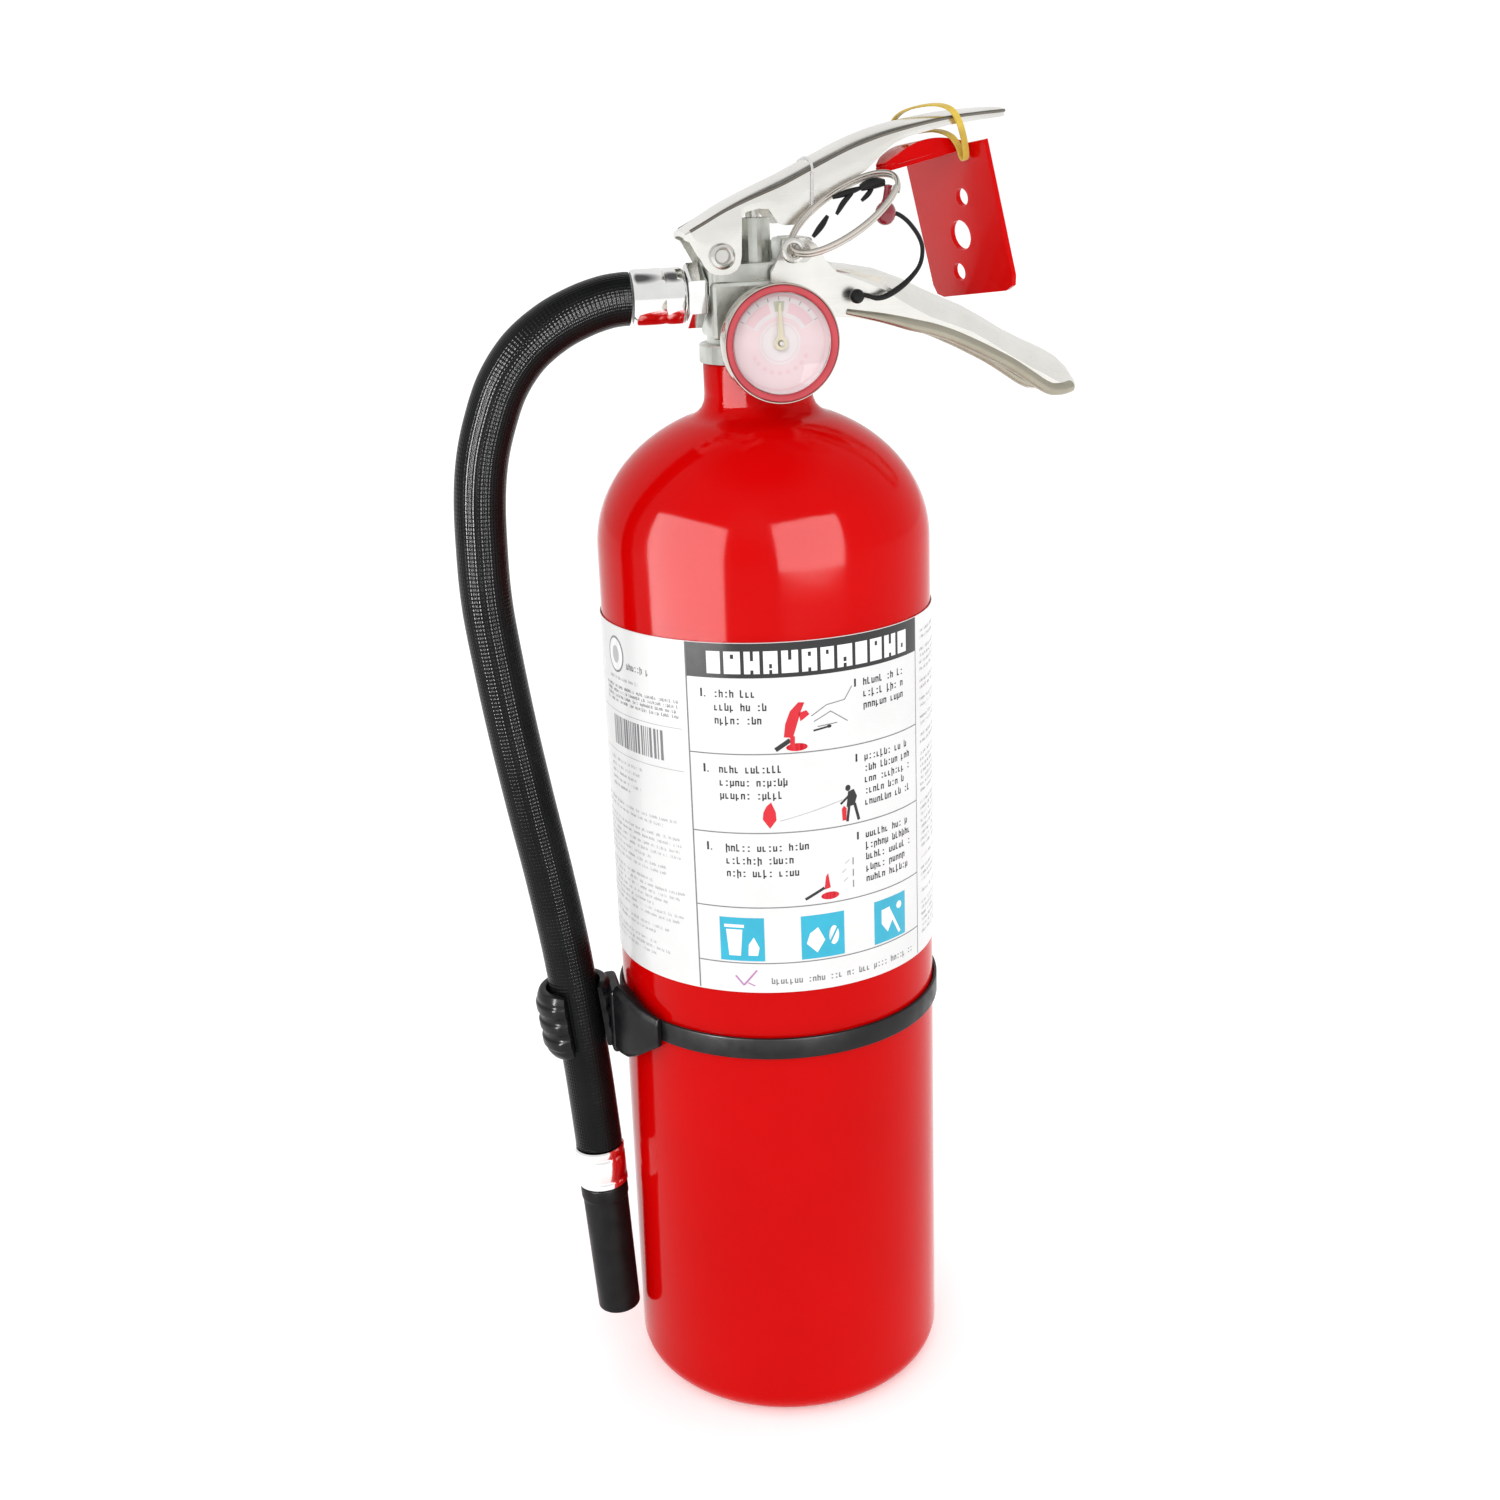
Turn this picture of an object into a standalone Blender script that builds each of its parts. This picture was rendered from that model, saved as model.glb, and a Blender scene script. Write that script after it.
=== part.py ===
"""Hand-held dry-chemical fire extinguisher. Metres, +Z up, gauge faces -Y, lever tip +X."""
import bpy
import bmesh
import math
from mathutils import Vector, Matrix

MM = 0.001

# Cylinder
BODY_R = 63.5
WALL = 1.6
NECK_R = 20.3
NECK_TOP = 419.0
SHOULDER_Z = 352.0
DOME_H = 52.0
STEPS = 40

# Label, strap
LABEL_R = BODY_R + 0.3
LABEL_Z = (191.0, 327.0)
LABEL_HALF_DEG = 135.0
STRAP_Z = (163.5, 172.0)

# Valve
LEVER_PIVOT = (-14.2, 457.5)
PIN_XZ = (14.5, 457.5)
HANDLE_RIVET = (12.0, 442.0)
OUTLET_Z = 443.5
STEM_TOP = 478.2

# Gauge
GAUGE = (2.3, 427.5)
GAUGE_R = 21.2
GAUGE_BACK = -21.8
GAUGE_FRONT = -33.0

# Hose
HOSE_R = 9.6
HOSE_ROUTE = [(-47.3, 443.5), (-49.8, 443.5), (-56.0, 442.7), (-65.0, 440.0), (-75.6, 435.0),
              (-86.4, 426.8), (-94.8, 415.6), (-100.4, 402.5), (-104.4, 388.5), (-106.5, 372.5),
              (-107.1, 352.0), (-106.8, 336.7), (-105.4, 321.1), (-101.4, 289.2), (-96.3, 256.1),
              (-90.6, 222.0), (-85.7, 186.9), (-81.2, 141.7), (-78.8, 110.0), (-78.5, 104.0)]

# Pull ring, seal
EYE = (9.4, -22.5, 459.0)
RING_END = (47.4, 482.8)

# Wall bracket: directions of its width, its height (down) and its outward normal
BR_W = Vector((0.341, -0.934, 0.104)).normalized()
BR_N = Vector((0.915, 0.355, 0.193))
BR_N = (BR_N - BR_W * BR_N.dot(BR_W)).normalized()
BR_H = BR_N.cross(BR_W).normalized()
if BR_H.z > 0:
    BR_H = -BR_H
BR_TOP = Vector((73.9, 0.8, 490.8))
BR_SIZE = (47.0, 53.2, 2.0)
TIE_PIVOT = BR_TOP + (BR_H - BR_N) * 3.6


# ---------------------------------------------------------------- helpers
def clear_scene():
    for obj in list(bpy.data.objects):
        bpy.data.objects.remove(obj, do_unlink=True)


def material(name, rgb, metallic, roughness):
    mat = bpy.data.materials.new(name)
    mat.use_nodes = True
    bsdf = mat.node_tree.nodes["Principled BSDF"]
    bsdf.inputs["Base Color"].default_value = (rgb[0], rgb[1], rgb[2], 1.0)
    bsdf.inputs["Metallic"].default_value = metallic
    bsdf.inputs["Roughness"].default_value = roughness
    return mat


def part_collection():
    name = "fire_extinguisher"
    if name not in bpy.data.collections:
        bpy.context.scene.collection.children.link(bpy.data.collections.new(name))
    return bpy.data.collections[name]


def build(name, bm, mat):
    """Turn a bmesh in millimetres into an object in metres."""
    bmesh.ops.scale(bm, vec=(MM, MM, MM), verts=bm.verts)
    bmesh.ops.recalc_face_normals(bm, faces=bm.faces)
    mesh = bpy.data.meshes.new(name)
    bm.to_mesh(mesh)
    bm.free()
    obj = bpy.data.objects.new(name, mesh)
    part_collection().objects.link(obj)
    mesh.materials.append(mat)
    smooth(obj)
    return obj


def smooth(obj, angle=35.0):
    obj.data.shade_smooth()
    obj.data.set_sharp_from_angle(angle=math.radians(angle))


def combine(base, others, operation):
    """Join the others to the base, or cut them from it, and keep one clean mesh."""
    for other in others:
        mod = base.modifiers.new("step", "BOOLEAN")
        mod.operation = operation
        mod.solver = "EXACT"
        mod.object = other
    bpy.context.view_layer.update()
    graph = bpy.context.evaluated_depsgraph_get()
    mesh = bpy.data.meshes.new_from_object(base.evaluated_get(graph))
    mat = base.data.materials[0]
    base.modifiers.clear()
    base.data = mesh
    mesh.materials.clear()
    mesh.materials.append(mat)
    bm = bmesh.new()
    bm.from_mesh(mesh)
    bmesh.ops.remove_doubles(bm, verts=bm.verts, dist=0.000003)
    bm.to_mesh(mesh)
    bm.free()
    for other in others:
        bpy.data.objects.remove(other, do_unlink=True)
    smooth(base)
    return base


def set_origin(obj, point):
    """Put the object's origin on its joint axis (point in millimetres)."""
    at = Vector(point) * MM
    obj.data.transform(Matrix.Translation(-at))
    obj.location = at


def frame_matrix(point, axis):
    """Local +Z along the axis, origin at the point."""
    turn = Vector((0, 0, 1)).rotation_difference(Vector(axis).normalized()).to_matrix().to_4x4()
    return Matrix.Translation(Vector(point)) @ turn


def lathe(profile, steps, point=(0, 0, 0), axis=(0, 0, 1), closed=False, turn=0.0):
    """Revolve (radius, height) points about the axis. Unless closed, both ends lie on it."""
    bm = bmesh.new()
    at = (math.cos(turn), math.sin(turn))
    line = [bm.verts.new((r * at[0], r * at[1], h)) for r, h in profile]
    edges = [bm.edges.new(pair) for pair in zip(line, line[1:])]
    if closed:
        edges.append(bm.edges.new((line[-1], line[0])))
    bmesh.ops.spin(bm, geom=line + edges, cent=(0, 0, 0), axis=(0, 0, 1), angle=2 * math.pi,
                   steps=steps, use_merge=True)
    bmesh.ops.remove_doubles(bm, verts=bm.verts, dist=0.0001)
    bm.transform(frame_matrix(point, axis))
    return bm


def rod(radius, low, high, steps=24, point=(0, 0, 0), axis=(0, 0, 1), turn=0.0):
    return lathe([(0, low), (radius, low), (radius, high), (0, high)], steps, point, axis, turn=turn)


def pipe(outer, inner, low, high, steps=24, point=(0, 0, 0), axis=(0, 0, 1)):
    profile = [(inner, low), (outer, low), (outer, high), (inner, high)]
    return lathe(profile, steps, point, axis, closed=True)


def box(x0, x1, y0, y1, z0, z1, bevel=0.0):
    bm = bmesh.new()
    bmesh.ops.create_cube(bm, size=1.0)
    bmesh.ops.scale(bm, vec=(x1 - x0, y1 - y0, z1 - z0), verts=bm.verts)
    bmesh.ops.translate(bm, vec=((x0 + x1) / 2, (y0 + y1) / 2, (z0 + z1) / 2), verts=bm.verts)
    if bevel > 0:
        bmesh.ops.bevel(bm, geom=list(bm.edges), offset=bevel, segments=2, profile=0.5,
                        affect="EDGES")
    return bm


def loft(sections, closed=False):
    """Join equal closed polygons into one solid; closed joins the last to the first."""
    bm = bmesh.new()
    rings = [[bm.verts.new(p) for p in section] for section in sections]
    pairs = list(zip(rings, rings[1:]))
    if closed:
        pairs.append((rings[-1], rings[0]))
    n = len(rings[0])
    for low, high in pairs:
        for i in range(n):
            j = (i + 1) % n
            bm.faces.new((low[i], low[j], high[j], high[i]))
    if not closed:
        bm.faces.new(rings[0])
        bm.faces.new(list(reversed(rings[-1])))
    return bm


def smooth_path(points, per_span):
    """A rounded run through hand-chosen points."""
    pts = [Vector(p) for p in points]
    run = []
    for i in range(len(pts) - 1):
        a = pts[max(i - 1, 0)]
        b = pts[i]
        c = pts[i + 1]
        d = pts[min(i + 2, len(pts) - 1)]
        for k in range(per_span):
            t = k / per_span
            run.append(0.5 * ((2 * b) + (c - a) * t + (2 * a - 5 * b + 4 * c - d) * t * t
                              + (3 * b - a - 3 * c + d) * t ** 3))
    run.append(pts[-1])
    return run


def tube(name, points, radius, mat, resolution=3, cyclic=False):
    """Round rod along points (millimetres), closed at both ends."""
    curve = bpy.data.curves.new(name, "CURVE")
    curve.dimensions = "3D"
    curve.bevel_depth = radius * MM
    curve.bevel_resolution = resolution
    curve.use_fill_caps = True
    spline = curve.splines.new("POLY")
    spline.points.add(len(points) - 1)
    for i, p in enumerate(points):
        spline.points[i].co = (p[0] * MM, p[1] * MM, p[2] * MM, 1.0)
    spline.use_cyclic_u = cyclic
    temp = bpy.data.objects.new(name + "_path", curve)
    bpy.context.scene.collection.objects.link(temp)
    bpy.context.view_layer.update()
    graph = bpy.context.evaluated_depsgraph_get()
    mesh = bpy.data.meshes.new_from_object(temp.evaluated_get(graph))
    bpy.data.objects.remove(temp, do_unlink=True)
    bm = bmesh.new()
    bm.from_mesh(mesh)
    bmesh.ops.remove_doubles(bm, verts=bm.verts, dist=0.000002)
    bmesh.ops.scale(bm, vec=(1 / MM, 1 / MM, 1 / MM), verts=bm.verts)
    return build(name, bm, mat)


def channel(stations, thick, arch):
    """Sheet-metal channel open below: stations of (x, ridge z, half width, crown, lower z)."""
    sections = []
    for x, ridge, half, crown, low in stations:
        outer = [(-half, low)]
        for u, v in arch:
            outer.append((-half * u, ridge - crown * v))
        outer.append((0, ridge))
        for u, v in reversed(arch):
            outer.append((half * u, ridge - crown * v))
        outer.append((half, low))
        k = (half - thick) / half
        inner = []
        for i, (y, z) in enumerate(outer):
            drop = 0.0 if i in (0, len(outer) - 1) else thick
            inner.append((y * k, max(z - drop, low)))
        ring = outer + list(reversed(inner))
        sections.append([(x, y, z) for y, z in ring])
    return loft(sections)


# ---------------------------------------------------------------- pressure vessel
def make_cylinder(mats):
    outer = [(0, 0), (49.0, 0)]
    for i in range(1, 5):
        a = math.radians(90 * i / 4)
        outer.append((52.5 + 11 * math.sin(a), 11 - 11 * math.cos(a)))
    outer.append((BODY_R, SHOULDER_Z))
    for deg in (14, 28, 41, 52, 61, 67):
        a = math.radians(deg)
        outer.append((BODY_R * math.cos(a), SHOULDER_Z + DOME_H * math.sin(a)))
    outer.append((21.8, 401.6))
    outer.append((NECK_R, 404.5))
    outer.append((NECK_R, NECK_TOP))
    inner = [(15.6, NECK_TOP), (15.6, 398.0), (24.0, 397.0)]
    for deg in (60, 45, 30, 15, 0):
        a = math.radians(deg)
        inner.append(((BODY_R - WALL) * math.cos(a), SHOULDER_Z + (DOME_H - WALL) * math.sin(a)))
    inner += [(BODY_R - WALL, 12.0), (58.5, 4.2), (50.0, WALL), (0, WALL)]
    return build("cylinder_shell", lathe(outer + inner, STEPS, turn=math.radians(-90)), mats["paint"])


def make_label(mats):
    count = int(2 * LABEL_HALF_DEG / 9)
    rings = []
    for i in range(count + 1):
        a = math.radians(-LABEL_HALF_DEG + 9 * i)
        ring = []
        for r, z in ((LABEL_R, 0), (LABEL_R + 0.3, 0), (LABEL_R + 0.3, 1), (LABEL_R, 1)):
            ring.append((r * math.sin(a), -r * math.cos(a), LABEL_Z[z]))
        rings.append(ring)
    return build("label", loft(rings), mats["label"])


def make_siphon(mats):
    tube_bm = pipe(5.0, 3.9, 18.0, 398.0, 20)
    build("siphon_tube", tube_bm, mats["plastic"])
    profile = [(5.3, 394.0), (6.6, 394.0), (6.6, 404.0), (2.5, 404.0), (2.5, 398.4), (5.3, 398.4)]
    build("siphon_adapter", lathe(profile, 24, closed=True), mats["plastic"])


# ---------------------------------------------------------------- valve
def make_valve(mats):
    cast = mats["cast"]
    body = build("valve_body", lathe([(0, 400), (14.6, 400), (14.6, 411.6), (13.4, 411.6),
                                      (13.4, 415.4), (14.6, 415.4), (14.6, 419.3),
                                      (21.5, 419.3), (21.5, 425.4), (20.9, 426), (18.5, 426.4), (18.5, 431.6),
                                      (17.7, 432.4), (0, 432.4)], 40), cast)
    parts = [
        box(-18.5, 19.0, -11.5, 11.5, 428.0, 448.4, 1.6),
        box(-17.6, 18.0, -9.3, 9.3, 440.0, 454.6, 1.0),
        box(-19.2, -9.6, -8.7, 8.7, 443.2, 463.0, 1.2),
        box(8.4, 20.4, -8.5, 8.5, 443.7, 462.6, 1.2),
        rod(6.2, 444.3, 470.0, 24),
        rod(6.4, 9.3, 26.0, 24, (0, 0, OUTLET_Z), (-1, 0, 0)),
        box(-12.0, 12.0, 12.3, 26.0, 426.7, 432.0, 0.8),
    ]
    solids = [build("piece", bm, cast) for bm in parts]
    combine(body, solids, "UNION")
    cuts = [
        lathe([(0, 390), (7.0, 390), (7.0, 436), (4.6, 436), (4.6, 450), (3.0, 450), (3.0, 480),
               (0, 480)], 28, turn=0.05),
        rod(4.0, -1.0, 30.0, 20, (0, 0, OUTLET_Z), (-1, 0, 0)),
        rod(5.1, -26.0, -5.5, 24, (GAUGE[0], 0, GAUGE[1]), (0, 1, 0)),
        rod(3.3, -20.0, 20.0, 20, (LEVER_PIVOT[0], 0, LEVER_PIVOT[1]), (0, 1, 0)),
        rod(2.4, -20.0, 20.0, 20, (PIN_XZ[0], 0, PIN_XZ[1]), (0, 1, 0)),
        rod(3.3, -20.0, 20.0, 20, (HANDLE_RIVET[0], 0, HANDLE_RIVET[1]), (0, 1, 0)),
        box(-9.5, 9.5, 19.4, 23.9, 420.0, 440.0),
    ]
    cutters = [build("cut", bm, cast) for bm in cuts]
    combine(body, cutters, "DIFFERENCE")
    ring = []
    for i in range(8):
        a = 2 * math.pi * i / 8
        ring.append((14.6 + 0.85 * math.cos(a), 413.5 + 0.85 * math.sin(a)))
    build("neck_o_ring", lathe(ring, 32, closed=True), mats["rubber"])


def make_stem(mats):
    profile = [(0, 424.0), (2.6, 424.0), (2.6, 476.8), (1.8, 477.8), (0, STEM_TOP)]
    stem = build("valve_stem", lathe(profile, 20), mats["brass"])
    collar = [build("collar", rod(4.0, 427.8, 430.9, 20), mats["brass"])]
    combine(stem, collar, "UNION")
    set_origin(stem, (0, 0, 430.0))
    seat = build("stem_seat_seal", pipe(6.0, 2.9, 431.2, 435.6, 24), mats["rubber"])
    set_origin(seat, (0, 0, 430.0))
    points = []
    turns = 6
    for i in range(turns * 12 + 1):
        a = 2 * math.pi * i / 12
        h = 405.2 + (427.0 - 405.2) * i / (turns * 12)
        points.append((5.3 * math.cos(a), 5.3 * math.sin(a), h))
    tube("valve_spring", points, 0.65, mats["steel"], 1)


def make_gauge(mats):
    at = (GAUGE[0], 0, GAUGE[1])
    axis = (0, -1, 0)
    back = -GAUGE_BACK
    front = -GAUGE_FRONT
    case = [(5.2, back), (GAUGE_R - 1.4, back), (GAUGE_R, back + 1.6), (GAUGE_R, front - 1.2),
            (GAUGE_R - 1.0, front), (18.0, front), (18.0, back + 1.6), (5.2, back + 1.6)]
    build("gauge_case", lathe(case, 40, at, axis, closed=True), mats["paint"])
    stem = [(0, 9.4), (4.8, 9.4), (4.8, back + 2.4), (2.4, back + 2.4), (2.4, back + 3.2), (0, back + 3.2)]
    build("gauge_stem", lathe(stem, 20, at, axis), mats["brass"])
    points = []
    for i in range(19):
        a = math.radians(-120 + 280 * i / 18)
        points.append((GAUGE[0] + 12 * math.cos(a), -(back + 3.6), GAUGE[1] + 12 * math.sin(a)))
    tube("bourdon_coil", points, 1.1, mats["brass"], 2)
    build("gauge_dial", pipe(17.6, 1.1, back + 5.2, back + 5.8, 40, at, axis), mats["dial"])
    build("gauge_pivot", lathe([(0, back + 3.6), (0.8, back + 3.6), (0.8, back + 8.2), (0, back + 8.2)],
                               16, at, axis), mats["steel"])
    y = -(back + 6.9)
    needle = build("gauge_needle", pipe(2.4, 1.1, back + 6.6, back + 7.2, 20, at, axis), mats["black"])
    x, z = GAUGE
    hand = loft([[(x - 1.1, y - 0.3, z + 1.8), (x + 1.1, y - 0.3, z + 1.8), (x + 1.1, y + 0.3, z + 1.8),
                  (x - 1.1, y + 0.3, z + 1.8)],
                 [(x - 0.4, y - 0.3, z + 13.5), (x + 0.4, y - 0.3, z + 13.5),
                  (x + 0.4, y + 0.3, z + 13.5), (x - 0.4, y + 0.3, z + 13.5)]])
    combine(needle, [build("hand", hand, mats["black"])], "UNION")
    set_origin(needle, (x, y, z))
    build("gauge_lens", rod(17.7, front - 2.2, front - 0.8, 40, at, axis), mats["glass"])


# ---------------------------------------------------------------- lever and handle
ARCH = [(1.0, 1.0), (0.96, 0.72), (0.78, 0.36), (0.42, 0.1)]

LEVER = [(-27.4, 466.4, 11.0, 1.2, 463.6), (-25.4, 467.7, 11.3, 1.6, 462.6),
         (-20.6, 470.6, 11.3, 2.2, 452.8), (-18.0, 472.0, 11.3, 2.5, 451.0),
         (-8.4, 477.6, 11.3, 3.4, 451.0), (-6.8, 478.6, 11.3, 3.6, 453.2),
         (-6.4, 478.9, 11.3, 3.6, 470.4), (3.5, 482.6, 11.3, 4.2, 474.0),
         (7.0, 483.8, 11.3, 4.4, 468.6), (8.6, 484.4, 11.3, 4.4, 467.2),
         (14.0, 486.9, 11.3, 4.4, 467.2), (17.8, 488.8, 11.3, 4.4, 471.8),
         (24.6, 491.9, 11.4, 4.3, 476.0), (32.9, 495.6, 12.2, 4.2, 480.9),
         (40.0, 498.2, 13.0, 4.2, 484.6), (46.0, 500.0, 13.7, 4.1, 492.0),
         (55.0, 502.0, 14.2, 3.8, 496.0), (69.7, 504.3, 14.2, 3.2, 499.4),
         (82.0, 505.2, 13.6, 2.8, 500.9), (89.5, 505.4, 11.8, 2.4, 501.6),
         (93.3, 505.2, 8.2, 1.8, 502.0)]

HANDLE = [(3.2, 452.0, 13.8, 1.0, 437.0), (6.0, 457.0, 13.8, 1.0, 433.6),
          (9.0, 461.6, 13.8, 1.0, 433.4), (12.0, 463.2, 13.8, 1.0, 433.4),
          (17.0, 463.2, 13.8, 1.0, 433.4), (20.5, 460.8, 13.8, 1.0, 433.6),
          (24.0, 455.4, 13.8, 1.6, 434.0), (27.5, 453.2, 13.8, 3.0, 434.0),
          (33.4, 452.4, 13.8, 4.4, 433.5), (44.9, 450.2, 13.8, 7.0, 431.0),
          (55.7, 446.0, 13.8, 9.6, 428.0), (63.5, 442.0, 13.7, 9.8, 426.0),
          (71.4, 438.4, 13.6, 9.2, 423.2), (79.3, 434.9, 13.5, 8.8, 419.6),
          (87.2, 430.4, 13.4, 9.0, 415.6), (95.2, 425.4, 13.2, 9.2, 411.2),
          (103.3, 421.2, 12.9, 9.8, 405.8), (108.0, 419.0, 12.6, 10.0, 402.4),
          (112.0, 417.0, 12.0, 10.4, 400.3), (116.5, 414.4, 10.8, 10.0, 400.0),
          (120.5, 410.6, 8.6, 7.4, 400.4), (124.0, 405.6, 5.0, 3.0, 400.9)]


def make_lever(mats):
    lever = build("lever", channel(LEVER, 1.8, ARCH), mats["plate"])
    hole = build("cut", rod(3.3, -20.0, 20.0, 20, (LEVER_PIVOT[0], 0, LEVER_PIVOT[1]), (0, 1, 0)),
                 mats["plate"])
    combine(lever, [hole], "DIFFERENCE")
    set_origin(lever, (LEVER_PIVOT[0], 0, LEVER_PIVOT[1]))
    at = (LEVER_PIVOT[0], 0, LEVER_PIVOT[1])
    profile = [(0, -13.6), (3.4, -13.6), (4.6, -12.8), (4.6, -11.6), (3.0, -11.6), (3.0, 11.6),
               (4.6, 11.6), (4.6, 12.8), (3.4, 13.6), (0, 13.6)]
    build("lever_rivet", lathe(profile, 20, at, (0, 1, 0)), mats["steel"])


def make_handle(mats):
    handle = build("carry_handle", channel(HANDLE, 1.8, ARCH), mats["plate"])
    rivet_hole = rod(3.3, -20.0, 20.0, 20, (HANDLE_RIVET[0], 0, HANDLE_RIVET[1]), (0, 1, 0))
    pin_hole = rod(2.4, -20.0, 20.0, 20, (PIN_XZ[0], 0, PIN_XZ[1]), (0, 1, 0))
    cuts = [box(0.0, 26.2, -12.0, 12.0, 430.0, 470.0), rivet_hole, pin_hole]
    combine(handle, [build("cut", bm, mats["plate"]) for bm in cuts], "DIFFERENCE")
    profile = [(0, -16.2), (3.2, -16.2), (4.6, -15.2), (4.6, -14.1), (3.0, -14.1), (3.0, 14.1),
               (4.6, 14.1), (4.6, 15.2), (3.2, 16.2), (0, 16.2)]
    at = (HANDLE_RIVET[0], 0, HANDLE_RIVET[1])
    build("handle_rivet", lathe(profile, 20, at, (0, 1, 0)), mats["steel"])


def make_pin(mats):
    steel = mats["steel"]
    at = (PIN_XZ[0], 0, PIN_XZ[1])
    profile = [(0, -18.0), (1.4, -18.0), (2.0, -17.2), (2.0, 14.6), (3.4, 14.6), (3.4, 16.2),
               (2.0, 16.2), (2.0, 22.5), (0, 22.5)]
    pin = build("pull_pin", lathe(profile, 20, at, (0, -1, 0)), steel)
    ring = []
    for i in range(8):
        a = 2 * math.pi * i / 8
        ring.append((3.4 + 1.15 * math.cos(a), 1.15 * math.sin(a)))
    eye = build("eye", lathe(ring, 24, EYE, (0, 1, 0), closed=True), steel)
    combine(pin, [eye], "UNION")
    set_origin(pin, (PIN_XZ[0], 0, PIN_XZ[1]))


def make_ring(mats):
    u = Vector((RING_END[0] - EYE[0], 0, RING_END[1] - EYE[2]))
    half = u.length / 2
    u.normalize()
    v = Vector((u.z * 0.7, -0.714, -u.x * 0.7))
    centre = Vector(EYE) + u * half
    points = []
    for i in range(40):
        a = 2 * math.pi * i / 40
        points.append(centre + u * half * math.cos(a) + v * 10.0 * math.sin(a))
    ring = tube("pull_ring", points, 1.15, mats["steel"], 2, cyclic=True)
    set_origin(ring, EYE)


def make_seal(mats):
    route = [(44.0, -22.2, 475.2), (42.9, -22.4, 480.2), (44.2, -22.7, 484.8), (47.6, -22.6, 487.0),
             (51.2, -22.0, 484.4), (51.6, -21.2, 475.0), (53.4, -20.8, 465.5), (57.3, -20.4, 457.6), (56.3, -20.2, 451.0),
             (51.5, -20.0, 445.8), (45.0, -19.6, 442.2), (38.4, -19.0, 441.2)]
    strap = tube("seal_strap", smooth_path(route, 3), 0.9, mats["black"], 2)
    lock = [(0, -3.9), (2.2, -3.4), (3.5, -1.8), (3.7, 0.6), (2.9, 2.8), (1.5, 3.9), (0, 4.2)]
    bulb = build("seal_lock", lathe(lock, 16, (43.7, -22.4, 470.3), (0, 0, 1)), mats["seal"])
    knob = [(0, -2.6), (2.4, -2.6), (3.2, -1.4), (3.2, 1.4), (2.4, 2.6), (0, 2.6)]
    pad = build("seal_knob", lathe(knob, 16, (33.6, -19.0, 441.6), (0, 1, 0)), mats["black"])
    for obj in (strap, bulb, pad):
        set_origin(obj, EYE)


# ---------------------------------------------------------------- bracket and tie
def make_bracket(mats):
    w, h, t = BR_SIZE

    def prism(points, across):
        corners = [BR_TOP + BR_W * s + BR_H * down - BR_N * back for s, down, back in points]
        return loft([[p - across * t / 2 for p in corners], [p + across * t / 2 for p in corners]])

    half = w / 2
    plate = [(-half, -t / 2, 0), (half, -t / 2, 0), (half, h - 5, 0), (half - 1.4, h - 1.4, 0),
             (half - 5, h, 0), (5 - half, h, 0), (1.4 - half, h - 1.4, 0), (-half, h - 5, 0)]
    tongue = [(-11.0, 0, -0.6), (11.0, 0, -0.6), (8.4, 0, 12), (5.0, 0, 28), (3.0, 0, 30.5),
              (-3.0, 0, 30.5), (-5.0, 0, 28), (-8.4, 0, 12)]
    bracket = build("wall_bracket", prism(plate, BR_N), mats["paint"])
    combine(bracket, [build("tongue", prism(tongue, BR_H), mats["paint"])], "UNION")
    cuts = []
    for side, down, r in ((4.8, 17.5, 3.3), (-0.6, 31.0, 5.6), (-6.0, 44.4, 3.3)):
        at = BR_TOP + BR_W * side + BR_H * down
        cuts.append(build("cut", rod(r, -6, 6, 20, at, BR_N), mats["paint"]))
    combine(bracket, cuts, "DIFFERENCE")
    set_origin(bracket, TIE_PIVOT)


def make_tie(mats):
    """Loop round the lever and the bracket's neck; its lowest run is the bracket's pivot."""
    up = -BR_H
    loop = [(-15.6, 0), (-17.6, 1.2), (-18.5, 4.5), (-18.5, 15.4), (-17.4, 18.0), (-10.5, 20.2),
            (-1.5, 20.2), (7.5, 19.2), (14.2, 16.0), (15.4, 13.6), (15.4, 4.5), (15.2, 1.2),
            (13.6, 0), (0, 0)]
    sections = []
    n = len(loop)
    for i, (s, h) in enumerate(loop):
        ps, ph = loop[i - 1]
        ns, nh = loop[(i + 1) % n]
        d = Vector((ns - ps, nh - ph)).normalized()
        out = Vector((-d.y, d.x)) * 0.55
        lean = -3.2 * min(1.0, h / 4.5)
        section = []
        for side, wide in ((1, 1), (1, -1), (-1, -1), (-1, 1)):
            p = TIE_PIVOT + BR_W * (s + out.x * side) + up * (h + out.y * side)
            section.append(p + BR_N * (lean + 1.6 * wide))
        sections.append(section)
    tie = build("bracket_tie", loft(sections, closed=True), mats["yellow"])
    set_origin(tie, (LEVER_PIVOT[0], 0, LEVER_PIVOT[1]))


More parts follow.
